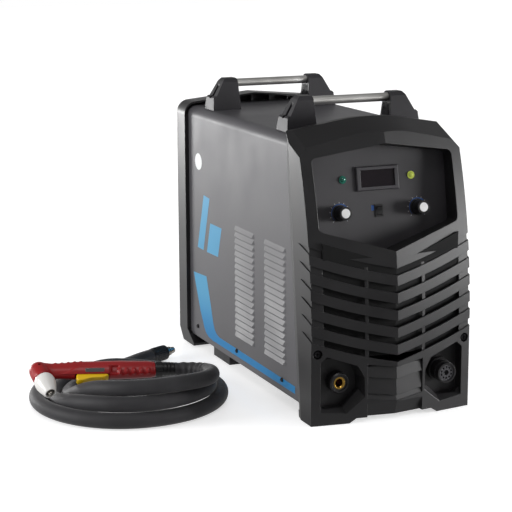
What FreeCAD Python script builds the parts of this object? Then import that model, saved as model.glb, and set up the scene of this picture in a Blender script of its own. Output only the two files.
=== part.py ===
"""Inverter plasma cutter with a hand torch: one STEP file for each physical piece.

Millimetres, +Z up, +Y towards the rear of the cabinet. The origin is on the floor under
the middle of the cabinet, half way between the front side edges and the rear face.
"""
import FreeCAD, Part
import math
import os

V = FreeCAD.Vector
X_AXIS, Y_AXIS, Z_AXIS = V(1, 0, 0), V(0, 1, 0), V(0, 0, 1)

# ---------------------------------------------------------------- cabinet envelope
WIDTH = 300.0            # over both bezels
DEPTH = 622.0            # front side edges to the rear face
ROOF_Z = 474.0           # top of the sheet cover
PAN_Z = 22.8             # underside of the base pan and of the cover sides
BEZEL_STEP = 8.0         # how far the bezels stand outside the cover
SHEET = 1.5              # cover, pan and rear plate
SHOULDER_R = 18.0        # bend between the roof and a side
MOULD = 3.5              # wall of the moulded bezels
FIT = 0.3                # clearance between separate pieces
THREAD_FIT = 0.05        # radial clearance of a screw in its hole

HALF = WIDTH / 2
FRONT = -DEPTH / 2       # plane of the front side edges
REAR = DEPTH / 2
COVER_HALF = HALF - BEZEL_STEP
OVER = 1.0               # how far a cutter runs past the face it cuts

# ---------------------------------------------------------------- front bezel
PROW = 21.0              # how far the middle ridge stands ahead of the side edges
LEAN_Z = 150.0           # the front starts to lean back here
LEAN_R = 942.0
VISOR_Z = 457.0          # lower edge of the visor at the sides
CREST_Z = 481.0
CREST_BACK = 106.0
CREST_FLAT = 10.0
VISOR_RISE, CREST_RISE = 37.0, 27.0  # from the sides to where the two slopes would meet
ARCH_ROUND = 60.0        # the top of each arch is rounded this far either side
PART_LOW = (58.0, -40.0)     # rear parting line, (distance back, height)
VISOR_CHAMFER = 10.0
RIM_WIDE = 22.0          # tapered rear rim of the bezel sides
RIM_STEP = 2.0           # what is left of the bezel step at the parting line
RIM_BASE_Z, RIM_TOP_Z = 25.0, 450.0
SEAT_BACK, SEAT_LONG = 32.0, 20.0    # ledges that the front edge of the pan sits on

VENT_COUNT = 6
VENT_PITCH = 29.4
VENT_HIGH = 12.0
VENT_TOP_Z = 291.0       # lower lip of the top vent at the side edges
VENT_DROP = 43.5         # fall of each vent from the side edges to the ridge
VENT_SAG = 3.5           # each limb of a vent hangs this far below a straight line
VENT_INNER = 50.5        # the middle window of each vent reaches this far either side
VENT_POST = 6.0          # upright post between the middle window and an outer one
VENT_MARGIN = 22.0       # from the outer windows to the side of the bezel
CHANNEL_DEEP = 2.0
POCKET_LONG = 40.0       # the channels run this far round on to the sides

FOOT_WIDE = 65.0
FOOT_LIFT = 8.0          # the middle of the front bezel clears the floor by this
FOOT_SLOPE = 14.0
CHIN_HALF = 52.0         # block between the two socket recesses
CHIN_TOP_Z = 32.0
CHIN_DEEP = 9.0
STEP_EDGES_Z = (92.0, 70.6, 42.2, 33.0)   # lower edges of the stepped plates, at the ridge
STEP_RISE = 7.5          # the edges climb this much from the ridge to the ends of the block
STEP_DEEP, STEP_PROUD = 4.5, 1.0
PLUG_IN, PLUG_Z, PLUG_R = 11.2, 123.3, 7.7
PLUG_X = HALF - PLUG_IN
PLUG_SINK, PLUG_DEEP = 4.0, 40.0     # screw head below the mouth, length of the boss

# ---------------------------------------------------------------- control panel
PANEL_LEAN = 10.0
PANEL_BACK, PANEL_Z = 53.0, 346.3    # where the panel face crosses the knob line
PANEL_THICK = 3.0
RECESS_IN = 19.0         # from the upper corners of the recess to the side of the bezel
RECESS_DRAFT = 1.0       # its lower corners are this much further in
RECESS_HIGH, RECESS_LOW = 93.6, -26.4
RECESS_APEX, RECESS_FOOT = 111.4, -68.3
RECESS_ROUND = 10.0
PANEL_LIP = 2.5          # ledge of the recess behind the panel edge

DISPLAY_SIZE = (80.0, 41.0)
DISPLAY_VIEW = (64.5, 28.6)
DISPLAY_UP = 54.8
DISPLAY_PROUD, DISPLAY_BEVEL = 4.0, 1.5
WINDOW_LAP, WINDOW_THICK = 2.0, 1.5
MODULE_DEEP, MODULE_INSET = 12.0, 3.0
DIGIT_INSET = 2.0        # the digits end this far inside the window
LAMP_X, LAMP_UP = 64.5, 55.8
LAMP_R, LAMP_FLANGE_R, LAMP_FLANGE = 5.0, 6.6, 1.4
LAMP_DEEP, LAMP_SINK = 13.0, 1.75    # the centre of the dome is sunk into the flange
KNOB_X, KNOB_R, KNOB_TOP_R, KNOB_TALL = 73.4, 13.5, 11.2, 22.0
KNOB_GAP = 0.8
KNOB_SKIRT, KNOB_STEP = 3.0, 1.2     # height of the skirt, and how far the body is set in
KNOB_CAP_R, KNOB_CAP, KNOB_CAP_PROUD = 7.8, 1.5, 0.5
KNOB_RIBS = 18
FLUTE_R, FLUTE_IN, FLUTE_START = 1.1, 0.4, 4.5
KNOB_HOLLOW, KNOB_ROOM = 4.0, 2.0    # depth of the hollow underside, and its room round the nut
KNOB_ROOF = 7.0          # solid end of the knob past its shaft
POINTER_HALF, POINTER_DEEP, POINTER_START = 0.6, 0.9, 2.73
POINTER_TURN = -135.0
SHAFT_R, BUSH_R, POT_R = 3.0, 3.8, 9.0
SHAFT_FIT = 0.05
SHAFT_GAP = 0.5          # from the end of a shaft to the bottom of its bore
SHAFT_BACK = 4.0         # the shaft ends this far inside the back of its can
POT_DEEP, POT_NUT, POT_NUT_R, BUSH_PROUD = 11.0, 2.4, 6.2, 1.0
ROCKER_FRAME = (15.0, 21.0)
ROCKER_RIM, ROCKER_RIM_HIGH = 1.0, 1.5
ROCKER_BARREL, ROCKER_CAVITY = 13.0, 9.0
ROCKER_HALF_WIDE, ROCKER_R = 4.8, 7.2
ROCKER_ANGLE = 8.0
ROCKER_VALLEY = 2.0      # the crease between the two lobes stands this far out
ROCKER_PIN_R, ROCKER_PIN = 1.0, 1.0
PIN_END = 0.2            # gap past the end of a pivot pin

# ---------------------------------------------------------------- front sockets
SOCKET_IN, SOCKET_Z = 53.0, 69.0     # from the side of the bezel, and above the floor
SOCKET_X = HALF - SOCKET_IN
RECESS_FLOOR = 18.0      # back of the socket recesses, behind the side edges
# outlines of one recess: (distance from the socket's centre towards the middle, height)
RECESS_POINTS = ((27.0, 99.0), (-26.0, 118.0), (-37.0, 109.0), (-37.0, 34.0),
                 (-29.0, 26.0), (7.0, 26.0), (37.0, 54.0), (36.0, 78.0))
LIP_POINTS = ((-37.0, 70.0), (-37.0, 13.0), (9.0, 13.0), (41.0, 42.0), (40.0, 78.0), (28.0, 99.0))
LIP_INNER = ((-37.0, 70.0), (-37.0, 28.0), (7.0, 27.0), (37.0, 54.0), (36.0, 78.0), (27.0, 97.0))
LIP_DEEP = 12.0
LIP_START, LIP_END = 15.75, 6.0      # the bevel runs from ahead of the side edges to behind them
SOCKET_R, SOCKET_LONG = 18.0, 16.0
SOCKET_NOSE, SOCKET_MOUTH, SOCKET_WALL = 2.0, 3.0, 4.0
BRASS_R, BRASS_BORE_R, BRASS_LONG = 10.5, 6.5, 60.0
BRASS_NUT_R, BRASS_NUT, BRASS_END = 16.5, 8.0, 12.0
BRASS_BEVEL = 1.5
CONNECTOR_R, CONNECTOR_LONG, CONNECTOR_TAIL = 17.5, 36.0, 16.0
CONNECTOR_BASE_R, CONNECTOR_BASE = 20.5, 9.0
CONNECTOR_RING_R, CONNECTOR_RING = 18.7, (10.0, 14.0)
PIN_COUNT, PIN_CIRCLE, PIN_R, PIN_DEEP = 10, 9.6, 1.7, 9.0
INSERT_R, INSERT_SINK, INSERT_END, KEY_R = 14.4, 2.0, 12.0, 4.6

# ---------------------------------------------------------------- cover and louvres
COVER_FRONT, COVER_END = 40.0, 10.0  # its ends, from the front side edges and the rear face
COVER_LONG = DEPTH - COVER_FRONT - COVER_END
COVER_LAP = 22.0         # the bezel laps the front edge of the cover by this
LOUVRE_ROWS, LOUVRE_PITCH, LOUVRE_Z = 18, 11.7, 73.0
LOUVRE_STARTS = (119.0, 255.0)
LOUVRE_LONG, LOUVRE_TALL, LOUVRE_OUT = 95.0, 8.0, 3.2
LOUVRE_SLOT = 3.0
SIDE_SCREW_END, SIDE_SCREW_Z = 81.0, 44.0
SIDE_SCREW_Y = (136.3, 341.5, DEPTH - SIDE_SCREW_END)
PAN_FRONT, FLANGE_FRONT = 34.0, 60.0
FLANGE_TOP = 62.0

# ---------------------------------------------------------------- rear bezel and plate
REAR_SIDE = 42.0         # depth of the rear bezel sides
REAR_ARCH_Z, REAR_CORNER_Z = 494.0, 480.0
REAR_LIFT = 3.5          # the rear bezel clears the floor by this
REAR_FOOT, REAR_SOLE = 77.0, 5.0     # foot, from the rear face forwards, and its tip height
REAR_HEEL = 8.0          # the sides start this far above the pan
REAR_TOE = (20.0, 24.0)  # bevel under the rear face
REAR_CORNER_R = 24.0
REAR_FRAME = 12.0        # width of the rear frame round the plate
REAR_SCREW_RISE, REAR_SCREW_DROP = 12.0, 40.0  # above the pan flanges, below the roof
RIB_COUNT, RIB_THICK, RIB_IN = 7, 2.5, 34.0
RIB_HALF = HALF - RIB_IN

BLOCK_IN, BLOCK_WIDE, BLOCK_END, BLOCK_LONG = 32.0, 30.0, 182.0, 80.0
BLOCK_X = HALF - BLOCK_IN

# ---------------------------------------------------------------- roof handles
TUBE_FRONT, TUBE_END = 170.0, 115.0  # tubes from the front side edges and from the rear face
TUBE_BACKS = (TUBE_FRONT, DEPTH - TUBE_END)
TUBE_RISE, TUBE_R, TUBE_WALL, TUBE_HELD = 49.0, 7.5, 1.5, 19.5
BRACKET_DEEP = 46.0
BRACKET_IN, BRACKET_WIDE = 14.0, 57.5
BRACKET_OUTER = COVER_HALF - BRACKET_IN
BRACKET_INNER = BRACKET_OUTER - BRACKET_WIDE
BRACKET_CAP = 2.5        # moulding over the tube
TAB_RISE, TAB_LONG, TAB_BEVEL = 26.0, 9.0, 3.0
SLOPE_RUN, TOP_BEVEL = 16.0, 5.0     # outer slope of a bracket, and the bevel above it
INNER_DRAFT, INNER_BEVEL = 3.5, 2.5
BRACKET_BEVEL, BRACKET_BEVEL_TOP = 9.0, 14.4  # each tall face leans in, most near the top
BEVEL_DROP = 7.0
GROOVE_HALF, GROOVE_DEEP = 4.0, 12.0
GROOVE_SINK, GROOVE_DROP = 4.0, 10.0
GRIP_RIBS, GRIP_RIB_PITCH, GRIP_GROOVE, GRIP_GROOVE_WIDE = 5, 5.0, 6.0, 3.0
GRIP_LOW, GRIP_HIGH_GAP = 4.0, 3.0
TUBE_Z = ROOF_Z + TUBE_RISE
TUBE_HALF = BRACKET_INNER + TUBE_HELD
BRACKET_TOP_Z = TUBE_Z + TUBE_R + BRACKET_CAP
TAB_TOP_Z = ROOF_Z + TAB_RISE

# ---------------------------------------------------------------- fasteners
BOLT_R, BOLT_HEAD_R, BOLT_HEAD, BOLT_GRIP = 3.0, 5.0, 4.0, 18.0
BOLT_IN = 24.0
BOLT_X = BRACKET_OUTER - BOLT_IN
SCREW_HEAD_R, SCREW_TOP_R, SCREW_HEAD, SCREW_LONG = 4.6, 3.6, 2.4, 10.0
PLUG_HEAD, PLUG_SHANK = 3.0, 30.0
CROSS_HALF, CROSS_REACH, CROSS_DEEP = 1.2, 5.39, 1.5

# ---------------------------------------------------------------- rear fittings
FAN_Z, FAN_SIZE, FAN_DEEP = 150.0, 172.0, 51.0
FAN_BORE_R, FAN_HUB_R, FAN_BLADES = 81.0, 36.0, 7
FAN_BLADE, FAN_CHORD, FAN_PITCH, FAN_TIP_GAP = 2.5, 44.0, 38.0, 2.5
FAN_SHAFT_R = 4.0
FAN_MOTOR, FAN_STRUT, FAN_STRUT_HALF = 8.0, 5.0, 4.0
FAN_GAP, FAN_REAR_GAP = 2.0, 6.0     # from the motor to the hub, and from the hub to the plate
GUARD_RINGS, GUARD_WIRE_R = 6, 1.5
GUARD_INNER_R, GUARD_OUTER_R, GUARD_REACH = 14.0, 79.0, 91.0
BREAKER_X, BREAKER_Z = -62.0, 372.0
BREAKER_SIZE = (54.0, 60.0, 84.0)    # wide, deep, tall
BREAKER_NOSE = (54.0, 12.0, 45.0)
LEVER_HALF, LEVER_PIVOT_IN, LEVER_R = 21.0, 5.0, 6.5
LEVER_REACH, LEVER_ARM = 11.0, 4.0   # the arm past the drum, and its thickness
LEVER_PIN_R, LEVER_PIN = 1.5, 2.5
LEVER_REST = 22.0        # the lever rests this far below level
GLAND_X, GLAND_Z = 60.0, 372.0
GLAND_R, GLAND_BORE_R, GLAND_LONG, GLAND_THREAD_R = 17.0, 8.0, 24.0, 13.0
GLAND_COLLAR, GLAND_NUT, GLAND_TAIL = 8.0, 6.0, 12.0
GLAND_SHOULDER, GLAND_LIP = 1.0, 3.5
AIR_X, AIR_Z = 60.0, 298.0
AIR_R, AIR_BORE_R, AIR_LONG = 10.0, 4.0, 20.0
AIR_HEAD, AIR_COLLET_R, AIR_THREAD_R, AIR_TAIL = 12.0, 7.5, 7.0, 8.0
EARTH_X, EARTH_Z, EARTH_R, EARTH_LONG = 0.0, 290.0, 4.0, 22.0
EARTH_TAIL, EARTH_NUT_R, EARTH_INNER, EARTH_OUTER = 14.0, 7.0, 6.0, 6.5

# ---------------------------------------------------------------- power train
SINK_LONG, SINK_TALL, SINK_BASE = 300.0, 120.0, 8.0
SINK_X, SINK_BACK = 52.0, 190.0
SINK_FINS, FIN_THICK, FIN_LONG = 9, 2.5, 22.0
MODULE_SIZE = (14.0, 60.0, 34.0)
MODULE_COUNT, MODULE_START, MODULE_GAP, MODULE_RISE = 3, 20.0, 30.0, 40.0
BOARD_THICK = 2.0
BOARD_WIDE = 220.0
CAP_R, CAP_TALL, CAP_ROWS, CAP_GAP, CAP_START = 17.0, 50.0, 3, 12.0, 40.0
CORE_SIZE = (60.0, 110.0, 100.0)
CORE_BACK = 120.0
CORE_LIMB, WINDING_BUILD = 24.0, 14.0
CONTROL_BOARD_SIZE, CONTROL_BOARD_THICK, CONTROL_BOARD_UP = (200.0, 90.0), 1.6, -10.0
VALVE_SIZE = (30.0, 46.0, 40.0)
VALVE_GAP, VALVE_BITE = 2.0, 6.0     # from the plate, and the length of thread it holds
VALVE_COIL_R, VALVE_COIL_TALL, VALVE_COIL_BACK = 12.6, 24.0, 27.6

# ---------------------------------------------------------------- hand torch
TORCH_X, TORCH_Y, TORCH_Z = -343.0, -82.6, 62.0  # tail end of the handle
TORCH_HEADING = 166.8                # of the handle, tail to head, about Z
TORCH_CLIMB = 2.0                    # the head lies this much higher
TORCH_ROLL = 65.0                    # about the handle axis, the nozzle tips forward and down
GRIP_LONG = 200.0
GRIP_HIGH, GRIP_WIDE = 18.5, 14.0    # half sizes of the oval handle at its thickest
# distance from the tail, and share of those half sizes there
GRIP_SECTIONS = ((0.0, 0.84), (14.0, 0.92), (60.0, 1.0), (130.0, 0.98), (170.0, 0.84))
GRIP_GROOVES, GRIP_GROOVE_START, GRIP_GROOVE_PITCH, GRIP_GROOVE_LONG = 5, 10.0, 11.0, 3.0
GRIP_GROOVE_SINK, GRIP_GROOVE_HALF = 1.2, 8.0
HEAD_LEAN = 17.0                     # the nozzle leans back towards the hand
HEAD_R, HEAD_STEP, CUP_R, CUP_TIP_R = 17.0, 1.0, 18.0, 10.0
HEAD_DROP, CUP_LONG, CUP_SHOULDER = 22.0, 38.0, 13.3
CUP_TAPER, CUP_WALL, CUP_LAND = 1.5, 2.5, 6.0
TIP_R, TIP_TAPER, TIP_OUT, TIP_BORE_R, TIP_BORE = 5.0, 1.5, 4.0, 0.6, 2.0
TRIGGER_TAIL, TRIGGER_LONG = 82.0, 54.0
TRIGGER_WIDE, TRIGGER_PROUD, TRIGGER_POCKET = 13.0, 10.0, 9.0
POCKET_TAIL, POCKET_END = 1.0, 3.0   # room in the handle before and past the trigger
TRIGGER_PIN_R, TRIGGER_PIN, TRIGGER_GAP = 2.0, 2.0, 5.5
TRIGGER_PIVOT, TRIGGER_PIVOT_DEEP = 5.0, 4.4
# outline of the trigger past its two ends: (distance along, height above its lowest face)
TRIGGER_BEVEL, TRIGGER_HEEL = 2.0, 1.0
TRIGGER_RAMP = ((10.0, 4.0), (34.0, 3.0), (42.0, 0.0), (51.0, 0.0), (54.0, 4.0))
NUT_R, NUT_LONG, NUT_COLLAR = 13.0, 35.0, 21.0
NUT_STEP, NUT_TAPER = 0.8, 2.0

# ---------------------------------------------------------------- torch lead
LEAD_R = 13.5
COIL_X, COIL_Y = -378.0, -44.0
COIL_OUTER, COIL_WIDE = 174.0, 54.0
COIL_BACK_Z, COIL_FRONT_Z = 41.0, 80.0   # top of the coil at its back and at its front
COIL_LEFT_Z, COIL_RIGHT_Z = 24.0, 45.0   # and at its left and right ends,
COIL_LEFT_RISE, COIL_RIGHT_RISE = 0.35, 0.4  # from where it rises this much per millimetre
LEAD_FIRST = 26.0        # the lead leaves the nut straight for this far
LEAD_ROUTE = ((-260.0, -102.0, 54.5), (-236.0, -107.0, 44.0))
TAIL_ROUTE = ((-400.0, 104.0, 14.0), (-362.0, 110.0, 14.0), (-324.0, 124.0, 14.0),
              (-294.0, 146.0, 14.0), (-266.0, 160.0, 14.0))
BEND_SHARE = 0.45        # a bend takes this share of the shorter run beside it
SHELL_R, SHELL_LONG, NOSE_R, NOSE_LONG = 15.0, 38.0, 9.0, 24.0


def box(x0, x1, y0, y1, z0, z1):
    """Block between two corners."""
    return Part.makeBox(x1 - x0, y1 - y0, z1 - z0, V(x0, y0, z0))


def rod(radius, start, end):
    """Round bar from one point to another."""
    way = end - start
    return Part.makeCylinder(radius, way.Length, start, way)


def cone(start_r, end_r, start, end):
    """Tapered bar from one point to another."""
    way = end - start
    return Part.makeCone(start_r, end_r, way.Length, start, way)


def prism_xz(points, y0, y1):
    """Outline of (x, z) points carried from y0 to y1."""
    corners = [V(x, y0, z) for x, z in points]
    return Part.Face(Part.makePolygon(corners + corners[:1])).extrude(V(0, y1 - y0, 0))


def prism_yz(points, x0, x1):
    """Outline of (y, z) points carried from x0 to x1."""
    corners = [V(x0, y, z) for y, z in points]
    return Part.Face(Part.makePolygon(corners + corners[:1])).extrude(V(x1 - x0, 0, 0))


def rounded_xz(points, radius, y0, y1):
    """Like prism_xz, with every corner rounded to one radius."""
    corners = [V(x, y0, z) for x, z in points]
    edges = []
    last = None
    first = None
    for index, corner in enumerate(corners):
        before = (corners[index - 1] - corner).normalize()
        after = (corners[(index + 1) % len(corners)] - corner).normalize()
        half = before.getAngle(after) / 2
        reach = radius / math.tan(half)
        start = corner + before * reach
        end = corner + after * reach
        middle_way = (before + after).normalize()
        middle = corner + middle_way * (radius / math.sin(half) - radius)
        if last is not None:
            edges.append(Part.LineSegment(last, start).toShape())
        first = first or start
        edges.append(Part.Arc(start, middle, end).toShape())
        last = end
    edges.append(Part.LineSegment(last, first).toShape())
    return Part.Face(Part.Wire(edges)).extrude(V(0, y1 - y0, 0))


def both_sides(shape):
    """The shape and its mirror image about the middle plane."""
    return [shape, shape.mirror(V(0, 0, 0), X_AXIS)]


def fuse(shapes):
    """One solid out of touching or overlapping solids."""
    return shapes[0].multiFuse(shapes[1:]).removeSplitter()


def save(name, shape):
    """Write one node, and print what it holds."""
    solids = shape.Solids
    print(f"{name}: {len(solids)} solid(s), {shape.Volume / 1000.0:.1f} cm3, valid {shape.isValid()}")
    shape.exportStep(f"parts/{name}.step")


def group(shapes):
    """Several separate pieces kept in one node."""
    return Part.makeCompound(shapes)


# ================================================================ front bezel

def lean(z):
    """How far the front side edge has leaned back at a height."""
    rise = max(z - LEAN_Z, 0.0)
    return LEAN_R - math.sqrt(LEAN_R ** 2 - rise ** 2)


def parting(z):
    """Distance back of the bezel's rear parting line at a height."""
    slope = (CREST_BACK + CREST_FLAT - PART_LOW[0]) / (CREST_Z - PART_LOW[1])
    return PART_LOW[0] + slope * (z - PART_LOW[1])


def prow_solid(inset, behind):
    """The bezel's outer shape without its sloping top, or the space inside it.

    The side outline is swept from each side edge to the middle ridge, forwards by PROW,
    so the front is a shallow prow.
    """
    y0 = FRONT + inset
    bottom = PART_LOW[1]
    top = CREST_Z + CREST_RISE * 2
    middle_z = (LEAN_Z + top) / 2
    halves = []
    for side in (-1, 1):
        x = side * HALF
        front_mid = V(x, y0, LEAN_Z)
        front_top = V(x, y0 + lean(top), top)
        bend = Part.Arc(front_mid, V(x, y0 + lean(middle_z), middle_z), front_top).toShape()
        corners = [front_top, V(x, FRONT + parting(top) + behind, top),
                   V(x, FRONT + PART_LOW[0] + behind, bottom), V(x, y0, bottom), front_mid]
        edges = [Part.LineSegment(a, b).toShape() for a, b in zip(corners, corners[1:])]
        outline = Part.Wire([bend] + edges)
        halves.append(Part.Face(outline).extrude(V(-x, -PROW, 0)))
    return fuse(halves)


def arch_cutter(side_z, rise, y0, y1, climb, drop):
    """Everything above a shallow arch that runs from y0 to y1 and climbs on the way.

    The arch has two straight slopes and a round middle, and is lowered by drop.
    """
    slope = rise / HALF
    reach = HALF * 2
    low_z = side_z - slope * HALF - drop
    shoulder_z = side_z + slope * (HALF - ARCH_ROUND) - drop
    round_r = ARCH_ROUND / math.sin(math.atan(slope))
    peak_z = shoulder_z + round_r * (1 - math.cos(math.atan(slope)))
    high_z = side_z + HALF
    left, left_in = V(-reach, y0, low_z), V(-ARCH_ROUND, y0, shoulder_z)
    right_in, right = V(ARCH_ROUND, y0, shoulder_z), V(reach, y0, low_z)
    edges = [Part.LineSegment(left, left_in).toShape(),
             Part.Arc(left_in, V(0, y0, peak_z), right_in).toShape(),
             Part.LineSegment(right_in, right).toShape(),
             Part.LineSegment(right, V(reach, y0, high_z)).toShape(),
             Part.LineSegment(V(reach, y0, high_z), V(-reach, y0, high_z)).toShape(),
             Part.LineSegment(V(-reach, y0, high_z), left).toShape()]
    return Part.Face(Part.Wire(edges)).extrude(V(0, y1 - y0, climb))


def top_cutters(inset):
    """What is taken off the plain prow to leave the visor, its crest and its corners."""
    rise_per_back = (CREST_Z - VISOR_Z) / (CREST_BACK - lean(VISOR_Z))
    visor_y = FRONT + lean(VISOR_Z)
    before = visor_y - PROW * 3
    run = DEPTH / 2
    visor = arch_cutter(VISOR_Z - (visor_y - before) * rise_per_back, VISOR_RISE, before,
                        before + run, run * rise_per_back, inset)
    crest = arch_cutter(CREST_Z, CREST_RISE, before, before + run, 0.0, inset)
    # sloping facets between the visor and the sides
    size = VISOR_CHAMFER
    mid_z = VISOR_Z - (visor_y - before) * rise_per_back
    low, far = size * 2 + inset, size * 6
    corners = [V(HALF + size, before, mid_z - low), V(HALF + size, before, mid_z + far),
               V(HALF + size - low - far, before, mid_z + far)]
    facet = Part.Face(Part.makePolygon(corners + corners[:1]))
    return [visor, crest] + both_sides(facet.extrude(V(0, run, run * rise_per_back)))


def vent_band(index, x0, x1):
    """One limb of a chevron vent between two distances from the middle, x0 < x1, both >= 0."""
    y = FRONT - PROW * 2
    edge_z = VENT_TOP_Z - index * VENT_PITCH
    ridge_z = edge_z - VENT_DROP
    low = [V(0, y, ridge_z), V(HALF / 2, y, (edge_z + ridge_z) / 2 - VENT_SAG), V(HALF, y, edge_z)]
    high = [point + Z_AXIS * VENT_HIGH for point in low]
    edges = [Part.Arc(*low).toShape(), Part.LineSegment(low[2], high[2]).toShape(),
             Part.Arc(high[2], high[1], high[0]).toShape(), Part.LineSegment(high[0], low[0]).toShape()]
    band = Part.Face(Part.Wire(edges)).extrude(V(0, PROW * 4, 0))
    return band.common(box(x0, x1, y, y + PROW * 4, ridge_z - PROW, edge_z + PROW))


def vent_window_cutters():
    """Through windows of every vent."""
    cutters = []
    for index in range(VENT_COUNT):
        cutters += both_sides(vent_band(index, 0.0, VENT_INNER))
        cutters += both_sides(vent_band(index, VENT_INNER + VENT_POST, HALF - VENT_MARGIN))
    return cutters


def vent_channel_cutters(outer):
    """Shallow channels that carry each vent line over the ribs and round the sides."""
    kept = outer.translated(V(0, CHANNEL_DEEP, 0))
    bands = []
    pockets = []
    for index in range(VENT_COUNT):
        bands += both_sides(vent_band(index, 0.0, HALF))
        low = VENT_TOP_Z - index * VENT_PITCH
        high = low + VENT_HIGH
        points = [(FRONT - OVER, low), (FRONT + lean(low), low),
                  (FRONT + lean(high) + POCKET_LONG, high), (FRONT - OVER, high)]
        pockets += both_sides(prism_yz(points, HALF - CHANNEL_DEEP, HALF + OVER))
    channels = bands[0].multiFuse(bands[1:]).cut(kept)
    return [channels] + pockets


def offset_points(points, amount):
    """A closed outline moved outwards by one amount at every corner."""
    count = len(points)
    turn = sum(points[i][0] * points[(i + 1) % count][1] - points[(i + 1) % count][0] * points[i][1]
               for i in range(count))
    sign = 1.0 if turn > 0 else -1.0
    moved = []
    for i in range(count):
        ax, az = points[i - 1]
        bx, bz = points[i]
        cx, cz = points[(i + 1) % count]
        first = math.hypot(bx - ax, bz - az)
        second = math.hypot(cx - bx, cz - bz)
        n1 = (sign * (bz - az) / first, -sign * (bx - ax) / first)
        n2 = (sign * (cz - bz) / second, -sign * (cx - bx) / second)
        scale = amount / (1 + n1[0] * n2[0] + n1[1] * n2[1])
        moved.append((bx + (n1[0] + n2[0]) * scale, bz + (n1[1] + n2[1]) * scale))
    return moved


def panel_place(shape):
    """Put a piece drawn in panel coordinates where the panel is.

    In panel coordinates +Z runs up the panel, +Y into it, and the face is y = 0.
    """
    moved = shape.copy()
    turn = FreeCAD.Rotation(X_AXIS, -PANEL_LEAN)
    spot = V(0, FRONT + PANEL_BACK, PANEL_Z)
    moved.Placement = FreeCAD.Placement(spot, turn).multiply(moved.Placement)
    return moved


def recess_points(amount):
    """Outline of the control panel recess, widened by an amount."""
    top, low = HALF - RECESS_IN, HALF - RECESS_IN - RECESS_DRAFT
    return offset_points([(0.0, RECESS_APEX), (top, RECESS_HIGH), (low, RECESS_LOW), (0.0, RECESS_FOOT),
                          (-low, RECESS_LOW), (-top, RECESS_HIGH)], amount)


def beside_socket(points, side):
    """An outline drawn from the socket's centre, put on one side of the bezel."""
    return [(side * (SOCKET_X - inwards), z) for inwards, z in points]


def lip_cutter(side):
    """Bevel round the lower lip of one socket recess."""
    wires = []
    for points, y in ((LIP_POINTS, FRONT - LIP_START), (LIP_INNER, FRONT + LIP_END)):
        corners = [V(x, y, z) for x, z in beside_socket(points, side)]
        wires.append(Part.makePolygon(corners + corners[:1]))
    return Part.makeLoft(wires, True, True)


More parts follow.
